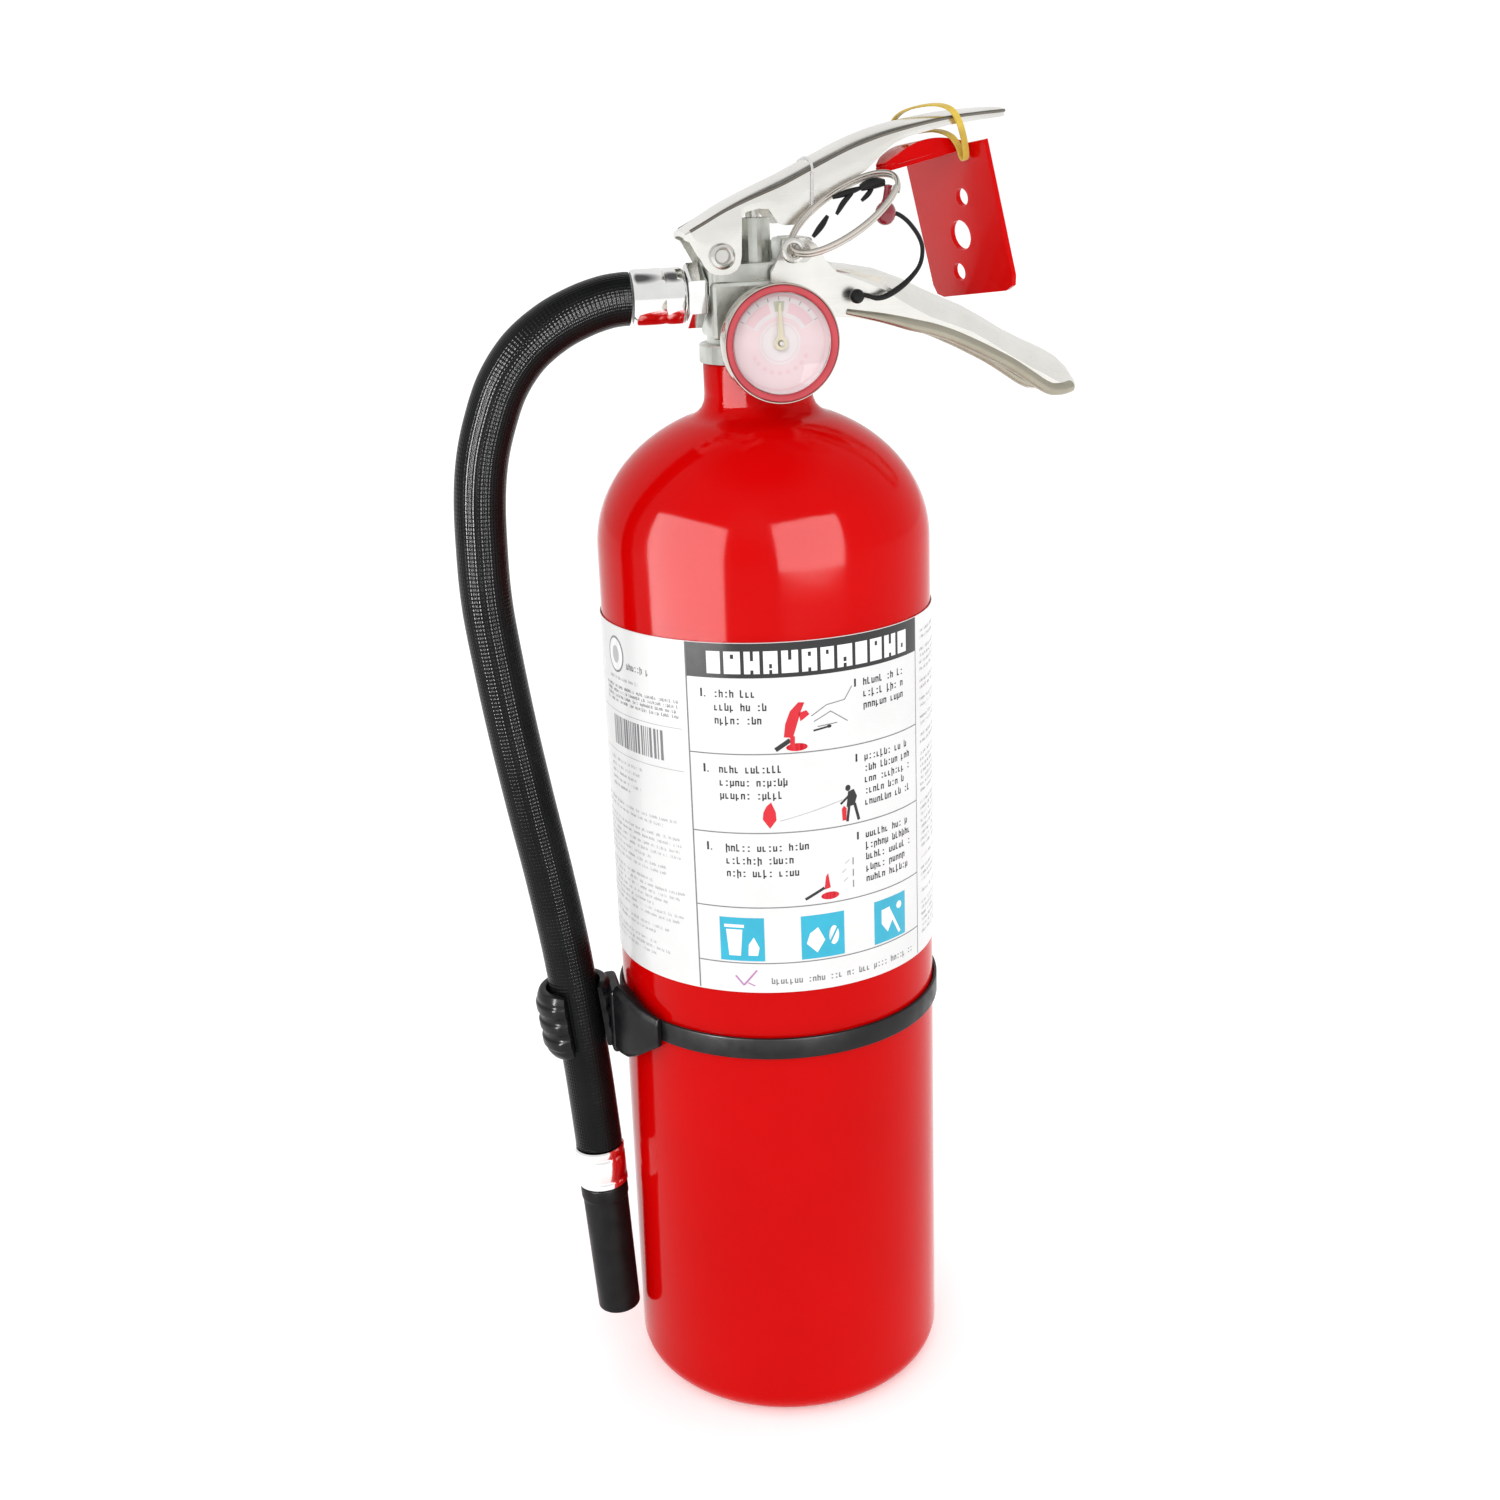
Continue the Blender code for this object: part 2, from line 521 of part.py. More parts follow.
# ---------------------------------------------------------------- hose line
def make_hose(mats):
    nut = lathe([(7.7, 19.5), (10.6, 19.5), (11.78, 20.4), (11.78, 25.5), (10.6, 26.5), (7.7, 26.5)],
                6, (0, 0, OUTLET_Z), (-1, 0, 0), closed=True)
    build("hose_nut", nut, mats["steel"])
    ferrule = [(5.0, 26.8), (9.2, 26.8), (10.4, 28.0), (10.4, 45.4), (9.9, 46.4), (5.0, 46.4)]
    build("hose_ferrule_upper", lathe(ferrule, 28, (0, 0, OUTLET_Z), (-1, 0, 0), closed=True),
          mats["steel"])
    points = smooth_path([(x, 0, z) for x, z in HOSE_ROUTE], 2)
    tube("hose", points, HOSE_R, mats["hose"], 4)
    top = Vector((-78.45, 0, 103.2))
    down = Vector((0.9, 0, -17.4))
    low = [(4.5, 0), (9.6, 0), (10.2, 0.8), (10.2, 16.6), (9.6, 17.4), (4.5, 17.4)]
    build("hose_ferrule_lower", lathe(low, 28, top, down, closed=True), mats["steel"])
    start = top + down.normalized() * 17.7
    aim = Vector((-74.2, 0, 26.0)) - start
    length = aim.length
    bore = 3.2
    noz = [(bore, 0), (9.8, 0), (9.8, 6.0), (9.4, 6.8), (8.8, length - 0.8), (8.2, length),
           (5.6, length), (bore, length - 14)]
    build("nozzle", lathe(noz, 28, start, aim, closed=True), mats["hose"])


def make_clip(mats):
    strap = [(BODY_R + 0.3, STRAP_Z[0]), (BODY_R + 1.7, STRAP_Z[0]), (BODY_R + 1.7, STRAP_Z[1]),
             (BODY_R + 0.3, STRAP_Z[1])]
    build("hose_strap", lathe(strap, STEPS, closed=True, turn=math.radians(-90)), mats["hose"])
    lean = math.radians(6.2)
    axis = Vector((-math.sin(lean), 0, math.cos(lean)))
    centre = Vector((-83.2, 0, 163.0))
    sections = []
    count = 18
    for i in range(count + 1):
        a = math.radians(-40 + 285 * i / count)
        radial = Vector((math.cos(a), math.sin(a), 0))
        radial = (radial - axis * radial.dot(axis)).normalized()
        section = []
        for r, z in ((10.9, -14.2), (14.4, -14.2), (15.4, -11.0), (15.4, 11.0), (14.4, 14.2), (10.9, 14.2)):
            section.append(centre + radial * r + axis * z)
        sections.append(section)
    clip = build("hose_clip", loft(sections), mats["plastic_black"])
    saddle = build("saddle", box(-71.2, -66.2, -12.6, 9.0, 149.5, 176.5, 1.2), mats["plastic_black"])
    combine(clip, [saddle], "UNION")
    wedge = []
    for deg, thick, z0, z1 in ((-79, 6.4, 150.4, 180.0), (-73, 6.0, 150.8, 179.0),
                               (-66, 4.6, 155.0, 176.0), (-57, 2.6, 161.6, 173.6)):
        a = math.radians(deg)
        d = Vector((math.sin(a), -math.cos(a), 0))
        near = BODY_R + 2.1
        up = Vector((0, 0, 1))
        wedge.append([d * near + up * z0, d * (near + thick) + up * z0,
                      d * (near + thick) + up * z1, d * near + up * z1])
    build("strap_buckle", loft(wedge), mats["plastic_black"])


# ---------------------------------------------------------------- build all
def main():
    clear_scene()
    mats = {
        "paint": material("red_paint", (0.62, 0.008, 0.010), 0.0, 0.22),
        "label": material("label_print", (0.75, 0.75, 0.73), 0.0, 0.4),
        "cast": material("cast_aluminium", (0.62, 0.63, 0.60), 1.0, 0.45),
        "plate": material("nickel_plate", (0.78, 0.76, 0.72), 1.0, 0.28),
        "steel": material("bright_steel", (0.66, 0.66, 0.66), 1.0, 0.2),
        "brass": material("brass", (0.72, 0.52, 0.22), 1.0, 0.3),
        "rubber": material("seal_rubber", (0.02, 0.02, 0.02), 0.0, 0.7),
        "hose": material("hose_rubber", (0.015, 0.015, 0.015), 0.0, 0.55),
        "plastic_black": material("clip_plastic", (0.02, 0.02, 0.02), 0.0, 0.45),
        "black": material("fine_black", (0.015, 0.015, 0.015), 0.0, 0.4),
        "plastic": material("siphon_plastic", (0.7, 0.7, 0.66), 0.0, 0.5),
        "dial": material("dial_print", (0.85, 0.8, 0.78), 0.0, 0.5),
        "glass": material("lens", (0.9, 0.9, 0.9), 0.0, 0.05),
        "seal": material("seal_red", (0.22, 0.01, 0.02), 0.0, 0.3),
        "yellow": material("tie_yellow", (0.85, 0.62, 0.05), 0.0, 0.45),
    }
    make_cylinder(mats)
    make_label(mats)
    make_siphon(mats)
    make_valve(mats)
    make_stem(mats)
    make_gauge(mats)
    make_lever(mats)
    make_handle(mats)
    make_pin(mats)
    make_ring(mats)
    make_seal(mats)
    make_bracket(mats)
    make_tie(mats)
    make_hose(mats)
    make_clip(mats)


main()
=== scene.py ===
import random
from math import ceil, cos, exp, pi, radians, sin

import bmesh
import bpy
from mathutils import Matrix, Quaternion, Vector


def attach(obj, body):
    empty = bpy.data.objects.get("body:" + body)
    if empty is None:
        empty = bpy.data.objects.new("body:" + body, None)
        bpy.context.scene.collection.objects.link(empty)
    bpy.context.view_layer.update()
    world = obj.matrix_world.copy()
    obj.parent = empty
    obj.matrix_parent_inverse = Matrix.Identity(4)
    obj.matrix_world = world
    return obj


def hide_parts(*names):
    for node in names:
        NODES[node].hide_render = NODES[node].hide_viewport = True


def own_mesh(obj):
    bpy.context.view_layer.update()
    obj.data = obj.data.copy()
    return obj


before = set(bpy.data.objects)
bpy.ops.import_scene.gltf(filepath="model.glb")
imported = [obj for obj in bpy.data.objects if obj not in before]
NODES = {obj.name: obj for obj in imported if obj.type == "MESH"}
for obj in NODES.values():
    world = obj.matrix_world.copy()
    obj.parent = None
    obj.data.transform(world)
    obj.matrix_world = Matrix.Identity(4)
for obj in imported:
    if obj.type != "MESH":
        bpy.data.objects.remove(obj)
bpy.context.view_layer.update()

MM = 0.001
ROOT = "extinguisher"

# Main sizes in millimetres, as in the CAD
BODY_R = 63.5
SHOULDER_Z = 352.0
DOME_H = 52.0
NECK_R = 20.3
NECK_TOP = 419.0
LABEL_R = 64.1
LABEL_Z = (191.0, 327.0)
LABEL_HALF = 135.0
INK_R = 64.15
MM_PER_DEG = INK_R * pi / 180
STRAP_Z = (163.5, 172.0)
GAUGE = (2.3, 427.5)
GAUGE_R = 21.2
GAUGE_BACK = 21.8
GAUGE_FRONT = 33.0
OUTLET_Z = 443.5
LEVER_PIVOT = (-14.2, 457.5)
HANDLE_RIVET = (12.0, 442.0)
EYE = Vector((9.4, -22.5, 459.0))
RING_END = Vector((47.4, -22.5, 482.8))
HOSE_R = 9.6
HOSE_ROUTE = [
    (-47.3, 443.5), (-49.8, 443.5), (-56.0, 442.7), (-65.0, 440.0), (-75.6, 435.0), (-86.4, 426.8),
    (-94.8, 415.6), (-100.4, 402.5), (-104.4, 388.5), (-106.5, 372.5), (-107.1, 352.0),
    (-106.8, 336.7), (-105.4, 321.1), (-101.4, 289.2), (-96.3, 256.1), (-90.6, 222.0),
    (-85.7, 186.9), (-81.2, 141.7), (-78.8, 110.0), (-78.5, 104.0)]
CLIP_CENTRE = Vector((-83.2, 0, 163.0))
CLIP_LEAN = radians(6.2)


def placed(name, data):
    made = bpy.data.objects.new(name, data)
    bpy.context.scene.collection.objects.link(made)
    return made


# ---- camera
def make_camera():
    turn, pitch, roll = radians(12.0), 0.3111, -0.0372
    forward = Vector((sin(turn) * cos(pitch), cos(turn) * cos(pitch), -sin(pitch)))
    right = Vector((cos(turn), -sin(turn), 0))
    up = right.cross(forward)
    c, s = cos(roll), sin(roll)
    data = bpy.data.cameras.new("camera")
    data.lens = 45.1
    data.sensor_width = 36.0
    cam = placed("camera", data)
    rows = [list(v) for v in zip(right * c + up * s, up * c - right * s, -forward)]
    cam.matrix_world = Matrix.Translation((-0.1555, -0.6927, 0.4950)) @ Matrix(rows).to_4x4()
    bpy.context.scene.camera = cam


make_camera()


# ---- node materials
class Shader:
    """A Principled material and short ways to add nodes to it."""

    def __init__(self, name, metallic=0.0, rough=0.4, **sockets):
        self.mat = bpy.data.materials.new(name)
        self.mat.use_nodes = True
        self.tree = self.mat.node_tree
        principled = self.tree.nodes["Principled BSDF"]
        self.bsdf = self.feed(principled, Metallic=metallic, Roughness=rough, **sockets)
        self.coord = self.node("TexCoord").outputs["Object"]

    def feed(self, node, **sockets):
        """Link or set the inputs of a node; an underscore stands for a space in their names."""
        for key, value in sockets.items():
            socket = node.inputs[key.replace("_", " ")]
            if isinstance(value, bpy.types.NodeSocket):
                self.tree.links.new(value, socket)
            else:
                socket.default_value = value
        return node

    def node(self, kind, **sockets):
        return self.feed(self.tree.nodes.new("ShaderNode" + kind), **sockets)

    def math(self, operation, first, second=0.0):
        made = self.node("Math")
        made.operation = operation
        for slot, value in zip(made.inputs, (first, second)):
            if isinstance(value, (int, float)):
                slot.default_value = value
            else:
                self.tree.links.new(value, slot)
        return made.outputs[0]

    def noise(self, scale, detail=3.0, stretch=(1, 1, 1)):
        mapping = self.node("Mapping", Scale=stretch, Vector=self.coord)
        made = self.node("TexNoise", Scale=scale, Detail=detail, Vector=mapping.outputs["Vector"])
        return made.outputs["Fac"]

    def between(self, value, low, high, out_low, out_high):
        return self.node("MapRange", Value=value, From_Min=low, From_Max=high, To_Min=out_low,
                         To_Max=out_high).outputs["Result"]

    def colours(self, value, *stops):
        """Base colour from a value: stops are (place, (r, g, b))."""
        ramp = self.node("ValToRGB", Fac=value)
        for element, (place, rgb) in zip(ramp.color_ramp.elements, stops):
            element.position = place
            element.color = (*rgb, 1.0)
        self.feed(self.bsdf, Base_Color=ramp.outputs["Color"])

    def roughness(self, value):
        self.feed(self.bsdf, Roughness=value)

    def bump(self, value, distance, strength):
        made = self.node("Bump", Distance=distance, Strength=strength, Height=value)
        self.feed(self.bsdf, Normal=made.outputs["Normal"])


# Nearly all of a noise lies between these two values
LOW, HIGH = 0.3, 0.7


def shade(rgb, factor):
    return tuple(min(1.0, c * factor) for c in rgb)


def surface(name, metallic, rough, tint, gloss, grain, **sockets):
    """A material from three noises, each given first by its settings. tint: then two (place,
    colour) stops; gloss: its range, then least and most rough; grain: depth in metres, strength."""
    made = Shader(name, metallic, rough, **sockets)
    made.colours(made.noise(*tint[0]), *tint[1:])
    made.roughness(made.between(made.noise(*gloss[0]), *gloss[1:]))
    made.bump(made.noise(*grain[0]), *grain[1:])
    return made.mat


def plain(name, rgb, rough, vary=0.08, scale=60.0, grain=400.0, depth=0.00004, **sockets):
    """Not a metal: colour that drifts a little, uneven gloss and a fine grain."""
    return surface(name, 0.0, rough,
                   ((scale, 5.0), (LOW, shade(rgb, 1 - vary)), (HIGH, shade(rgb, 1 + vary))),
                   ((scale * 2.3, 4.0), LOW, HIGH, rough * 0.8, rough * 1.25),
                   ((grain, 2.0), depth, 0.6), **sockets)


def metal(name, rgb, rough):
    """Turned or drawn metal, with a faint grain along it."""
    return surface(name, 1.0, rough,
                   ((80.0, 4.0), (LOW, shade(rgb, 0.93)), (HIGH, shade(rgb, 1.05))),
                   ((140.0, 5.0), LOW, HIGH, rough * 0.7, rough * 1.5),
                   ((260.0, 3.0, (0.3, 3.0, 3.0)), 0.00002, 0.4))


def printed(name, rgb, vary):
    return plain(name, rgb, 0.4, vary, 90.0, 900.0, 0.00001)


def hose_material(name, weave, depth, strands=26):
    """Black rubber whose woven layer, weave metres long, shows as a fine diagonal lattice."""
    made = Shader(name, 0.0, 0.20, Specular_IOR_Level=0.09)
    split = made.node("SeparateXYZ", Vector=made.node("TexCoord").outputs["UV"])
    along = made.math("MULTIPLY", split.outputs["X"], 2 * pi / weave)
    around = made.math("MULTIPLY", split.outputs["Y"], 2 * pi * strands)
    first = made.math("SINE", made.math("ADD", along, around))
    second = made.math("SINE", made.math("SUBTRACT", along, around))
    lattice = made.math("MULTIPLY", first, second)
    height = made.math("ADD", lattice, made.math("MULTIPLY", made.noise(900.0), 0.08))
    made.colours(made.noise(35.0, 5.0), (LOW, (0.0035, 0.004, 0.004)),
                 (HIGH, (0.0075, 0.008, 0.008)))
    made.roughness(made.between(made.noise(60.0, 6.0), LOW, HIGH, 0.17, 0.27))
    made.bump(height, depth, 0.8)
    return made.mat


def paper_ink(name, rgb):
    return plain(name, rgb, 0.18, 0.06, 120.0, 1200.0, 0.000008)


PAINT = surface("red_paint_gloss", 0.0, 0.12,
                ((14.0, 4.0), (LOW, (0.55, 0.0004, 0.0005)), (HIGH, (0.61, 0.0006, 0.0008))),
                ((55.0, 5.0), LOW, 0.75, 0.07, 0.13), ((190.0, 1.0), 0.00003, 0.35),
                Specular_IOR_Level=0.07)
VINYL = surface("label_vinyl", 0.0, 0.20,
                ((30.0, 5.0), (LOW, (0.76, 0.76, 0.755)), (HIGH, (0.82, 0.82, 0.815))),
                ((90.0, 4.0), LOW, HIGH, 0.13, 0.22), ((900.0, 2.0), 0.00001, 0.5),
                Specular_IOR_Level=0.40)
# Nickel plate on pressed steel: faint long drawing lines and cloudy gloss
DRAWN = (120.0, 4.0, (0.12, 3.0, 3.0))
PLATE = surface("nickel_plate_pressed", 1.0, 0.22,
                ((45.0, 5.0), (0.25, (0.78, 0.76, 0.71)), (0.75, (0.93, 0.92, 0.88))),
                (DRAWN, LOW, HIGH, 0.17, 0.30), (DRAWN, 0.00003, 0.4))
CAST = surface("cast_aluminium_valve", 1.0, 0.34,
               ((70.0, 6.0), (LOW, (0.50, 0.52, 0.47)), (HIGH, (0.70, 0.71, 0.67))),
               ((160.0, 4.0), LOW, HIGH, 0.26, 0.46), ((700.0, 3.0), 0.00010, 0.6))
GLASS = surface("lens_clear", 0.0, 0.03,
                ((30.0,), (LOW, (0.97, 0.95, 0.95)), (HIGH, (1.0, 0.98, 0.98))),
                ((220.0, 5.0), 0.35, 0.8, 0.01, 0.06), ((60.0,), 0.00002, 0.2),
                Transmission_Weight=1.0, IOR=1.45)
CHROME = metal("chrome_bright", (0.88, 0.88, 0.87), 0.09)
STEEL = metal("steel_zinc", (0.70, 0.69, 0.66), 0.20)
# WIRE is the pull ring and the gauge's cup. The next two are painted light on plated pieces:
# the handle's rolled edges, darkened as a painted reflection of the dark floor and red body,
# and a painted shadow line along the folds of the lever's back
WIRE = metal("spring_wire", (0.60, 0.56, 0.51), 0.18)
LIP_PAINTED_REFLECTION = metal("nickel_edge_painted_reflection", (0.40, 0.375, 0.30), 0.30)
# Painted shadow: a dark metal for the shade under the lever's rolled shoulders
CREASE_SHADOW = metal("nickel_crease_painted_shadow", (0.20, 0.185, 0.16), 0.40)
BRASS = metal("brass_turned", (0.78, 0.56, 0.24), 0.22)
HOSE = hose_material("hose_rubber_woven", 0.0030, 0.00008)
RUBBER = plain("rubber_moulded", (0.005, 0.005, 0.005), 0.40, 0.25, 60.0, 800.0, 0.00005,
               Specular_IOR_Level=0.12)
CLIP = plain("clip_moulded_black", (0.005, 0.005, 0.006), 0.32, 0.2, 70.0, 520.0, 0.00008,
             Specular_IOR_Level=0.16)
BAND = plain("strap_black", (0.009, 0.009, 0.010), 0.36, 0.2, 80.0, 700.0, 0.00005,
             Specular_IOR_Level=0.18)
BLACK = plain("fine_black_moulded", (0.008, 0.008, 0.008), 0.32, 0.2, 90.0, 700.0, 0.00004,
              Specular_IOR_Level=0.25)
DIP = plain("siphon_polymer", (0.62, 0.62, 0.57), 0.5)
RIM = plain("gauge_rim_red", (0.52, 0.060, 0.075), 0.14, 0.10, 90.0, 500.0, 0.00002,
            Specular_IOR_Level=0.4)
DIAL = printed("dial_face_print", (0.93, 0.76, 0.79), 0.03)
DIAL_WHITE = printed("dial_white_print", (0.90, 0.86, 0.87), 0.03)
DIAL_GREEN = printed("dial_green_print", (0.58, 0.64, 0.50), 0.05)
DIAL_RED = printed("dial_red_print", (0.92, 0.68, 0.72), 0.05)
CREAM = printed("pointer_cream", (0.80, 0.76, 0.56), 0.05)
CLEAR = plain("clear_nylon", (0.90, 0.90, 0.91), 0.16, 0.04, 90.0, 300.0, 0.00001,
              Transmission_Weight=0.45, IOR=1.45)
SEAL = plain("seal_dark_red", (0.24, 0.008, 0.020), 0.16, 0.15, 90.0, 500.0, 0.00003,
             Coat_Weight=0.6)
YELLOW = plain("tie_yellow_nylon", (0.62, 0.42, 0.045), 0.36, 0.2, 130.0, 600.0, 0.00005,
               Subsurface_Weight=0.1)
INK = {tone: paper_ink("ink_" + tone, rgb) for tone, rgb in (
    ("black", (0.014, 0.014, 0.016)), ("grey", (0.20, 0.20, 0.21)), ("pale", (0.46, 0.46, 0.47)),
    ("red", (0.66, 0.004, 0.018)), ("blue", (0.020, 0.42, 0.60)), ("white", (0.90, 0.90, 0.90)),
    ("plum", (0.50, 0.22, 0.46)))}


# ---- mesh helpers (millimetres)
def keep(name, bm, mat, body=ROOT, hides=(), angle=35.0, bevel=0.0, segments=2):
    """Turn a bmesh in millimetres into a piece on a body; edges over angle degrees stay sharp."""
    bmesh.ops.scale(bm, vec=(MM, MM, MM), verts=bm.verts)
    bmesh.ops.recalc_face_normals(bm, faces=bm.faces)
    mesh = bpy.data.meshes.new(name)
    bm.to_mesh(mesh)
    bm.free()
    mesh.materials.append(mat)
    mesh.shade_smooth()
    if angle < 180:
        mesh.set_sharp_from_angle(angle=radians(angle))
    piece = placed(name, mesh)
    if bevel > 0:
        add_bevel(piece, bevel, segments)
    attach(piece, body)
    if hides:
        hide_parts(*hides)
    return piece


def add_bevel(piece, width, segments=2):
    mod = piece.modifiers.new("edges", "BEVEL")
    mod.width = width * MM
    mod.segments = segments
    mod.limit_method = "ANGLE"
    mod.angle_limit = radians(32.0)
    mod.harden_normals = True


def box(size, centre):
    bm = bmesh.new()
    bmesh.ops.create_cube(bm, size=1.0)
    bmesh.ops.scale(bm, vec=size, verts=bm.verts)
    bmesh.ops.translate(bm, vec=centre, verts=bm.verts)
    return bm


def lathe(profile, steps, point=(0, 0, 0), axis=(0, 0, 1), closed=False):
    """Revolve (radius, height) points about the axis. Unless closed, both ends lie on it."""
    turn = Vector((0, 0, 1)).rotation_difference(Vector(axis).normalized()).to_matrix().to_4x4()
    bm = bmesh.new()
    line = [bm.verts.new((r, 0, h)) for r, h in profile]
    edges = [bm.edges.new(pair) for pair in zip(line, line[1:])]
    if closed:
        edges.append(bm.edges.new((line[-1], line[0])))
    bmesh.ops.spin(bm, geom=line + edges, cent=(0, 0, 0), axis=(0, 0, 1), angle=2 * pi,
                   steps=steps, use_merge=True)
    bmesh.ops.remove_doubles(bm, verts=bm.verts, dist=0.0001)
    bm.transform(Matrix.Translation(Vector(point)) @ turn)
    return bm


def round_corners(points, radius, steps=4):
    """Round the corners of a closed 2-D outline with small arcs."""
    run = []
    for i, p in enumerate(points):
        here = Vector(p)
        back = Vector(points[i - 1]) - here
        on = Vector(points[(i + 1) % len(points)]) - here
        cut = min(radius, back.length * 0.45, on.length * 0.45)
        a = here + back.normalized() * cut
        b = here + on.normalized() * cut
        for k in range(steps + 1):
            t = k / steps
            run.append(tuple(a * (1 - t) ** 2 + here * 2 * t * (1 - t) + b * t * t))
    return run


def loft(sections, closed=False):
    """Skin over sections of equal count; the ends are capped unless it closes on itself."""
    bm = bmesh.new()
    rings = [[bm.verts.new(p) for p in section] for section in sections]
    pairs = list(zip(rings, rings[1:]))
    if closed:
        pairs.append((rings[-1], rings[0]))
    count = len(rings[0])
    for low, high in pairs:
        for i in range(count):
            j = (i + 1) % count
            bm.faces.new((low[i], low[j], high[j], high[i]))
    if not closed:
        bm.faces.new(rings[0])
        bm.faces.new(list(reversed(rings[-1])))
    return bm


def catmull(points, per_span, cyclic=False):
    """A smooth curve through the points."""
    pts = [Vector(p) for p in points]
    count = len(pts)
    spans = count if cyclic else count - 1
    run = []
    for i in range(spans):
        if cyclic:
            a, b, c, d = (pts[(i + k) % count] for k in (-1, 0, 1, 2))
        else:
            a, b, c, d = pts[max(i - 1, 0)], pts[i], pts[i + 1], pts[min(i + 2, count - 1)]
        for k in range(per_span):
            t = k / per_span
            run.append(0.5 * ((2 * b) + (c - a) * t + (2 * a - 5 * b + 4 * c - d) * t * t
                              + (3 * b - a - 3 * c + d) * t ** 3))
    if not cyclic:
        run.append(pts[-1])
    return run


def tube(points, radius, sides, cyclic=False):
    """Round rod along points, and the lengths travelled at them. The radius may be a function
    of the share of the way along."""
    pts = [Vector(p) for p in points]
    count = len(pts)
    travelled = [0.0]
    for a, b in zip(pts, pts[1:]):
        travelled.append(travelled[-1] + (b - a).length)
    normal = None
    sections = []
    for i, p in enumerate(pts):
        if cyclic:
            tangent = (pts[(i + 1) % count] - pts[i - 1]).normalized()
        else:
            tangent = (pts[min(i + 1, count - 1)] - pts[max(i - 1, 0)]).normalized()
        if normal is None:
            normal = tangent.orthogonal().normalized()
        normal = (normal - tangent * normal.dot(tangent)).normalized()
        side = tangent.cross(normal)
        r = radius(travelled[i] / travelled[-1]) if callable(radius) else radius
        ring = []
        for k in range(sides):
            a = 2 * pi * k / sides
            ring.append(p + (normal * cos(a) + side * sin(a)) * r)
        sections.append(ring)
    return loft(sections, closed=cyclic), travelled


def tube_uv(bm, sides, travelled):
    """Metres along the tube and the share of the way round it."""
    layer = bm.loops.layers.uv.new("UVMap")
    bm.verts.index_update()
    for face in bm.faces:
        if len(face.verts) != 4:
            continue
        for loop in face.loops:
            ring, k = divmod(loop.vert.index, sides)
            share = k / sides
            if k == 0 and any(v.index % sides == sides - 1 for v in face.verts):
                share = 1.0
            loop[layer].uv = (travelled[ring] * MM, share)


def polar(angle, radius, z):
    """A point round the cylinder: degrees from its front, -Y, towards +X."""
    a = radians(angle)
    return Vector((radius * sin(a), -radius * cos(a), z))


# ---- hose line
def make_hose():
    route = catmull([(x, 0, z) for x, z in HOSE_ROUTE], 12)
    sides = 40
    bm, travelled = tube(route, HOSE_R, sides)
    tube_uv(bm, sides, travelled)
    hose = keep("hose_line", bm, HOSE, hides=["hose"], angle=60)

    # the lower ferrule with its crimp rings, and the nozzle
    top = Vector((-78.45, 0, 103.2))
    down = Vector((0.9, 0, -17.4))
    crimp = [(4.5, 0), (9.7, 0), (10.2, 0.6), (10.2, 2.6), (9.95, 3.0), (9.95, 3.8), (10.2, 4.2),
             (10.2, 13.2), (9.95, 13.6), (9.95, 14.4), (10.2, 14.8), (10.2, 16.8), (9.7, 17.4),
             (4.5, 17.4)]
    ferrule = keep("ferrule_crimped_lower", lathe(crimp, 72, top, down, closed=True), CHROME,
                   hides=["hose_ferrule_lower"])
    start = top + down.normalized() * 17.7
    aim = Vector((-74.2, 0, 26.0)) - start
    length = aim.length
    shape = [(3.2, 0), (9.8, 0), (9.8, 5.4), (9.35, 6.6), (8.8, length - 0.6), (8.3, length),
             (6.4, length), (5.2, length - 2.5), (3.2, length - 14)]
    shape = round_corners(shape, 0.5, 3)
    nozzle = keep("nozzle_tube", lathe(shape, 72, start, aim, closed=True), RUBBER, hides=["nozzle"])
    length = sum((b - a).length for a, b in zip(route, route[1:])) * MM

    # outlet nut and upper ferrule
    nut = round_corners([(7.7, 19.5), (10.9, 19.5), (11.78, 20.4), (11.78, 25.5), (10.9, 26.5),
                         (7.7, 26.5)], 0.25, 2)
    keep("outlet_nut", lathe(nut, 6, (0, 0, OUTLET_Z), (-1, 0, 0), closed=True), CHROME,
         hides=["hose_nut"], bevel=0.35)
    upper = [(5.0, 26.8), (9.2, 26.8), (10.1, 27.5), (10.4, 28.4), (10.4, 33.8), (10.15, 34.2),
             (10.15, 34.8), (10.4, 35.2), (10.4, 44.6), (10.2, 45.6), (9.7, 46.4), (5.0, 46.4)]
    keep("ferrule_crimped_upper", lathe(upper, 72, (0, 0, OUTLET_Z), (-1, 0, 0), closed=True),
         CHROME, hides=["hose_ferrule_upper"])


make_hose()


# ---- cylinder and label
def make_cylinder():
    outer = [(0, 0.9), (46.0, 0.9), (47.4, 0.2), (49.0, 0)]
    for i in range(1, 13):
        a = radians(90 * i / 12)
        outer.append((52.5 + 11 * sin(a), 11 - 11 * cos(a)))
    outer += [(BODY_R, z) for z in (60, 120, 180, 240, 300, SHOULDER_Z)]
    for deg in range(4, 65, 4):
        a = radians(deg)
        outer.append((BODY_R * cos(a), SHOULDER_Z + DOME_H * sin(a)))
    outer += [(25.2, 399.4), (23.0, 400.9), (21.5, 402.6), (20.6, 404.8), (NECK_R, 407.4),
              (NECK_R, 418.4), (19.8, NECK_TOP)]
    inner = [(15.6, NECK_TOP), (15.6, 398.0), (24.0, 397.0)]
    for deg in (60, 45, 30, 15, 0):
        a = radians(deg)
        inner.append((61.9 * cos(a), SHOULDER_Z + 50.4 * sin(a)))
    inner += [(61.9, 12.0), (58.5, 4.2), (50.0, 2.2), (0, 2.2)]
    keep("cylinder_painted", lathe(outer + inner, 180), PAINT, hides=["cylinder_shell"], angle=50)


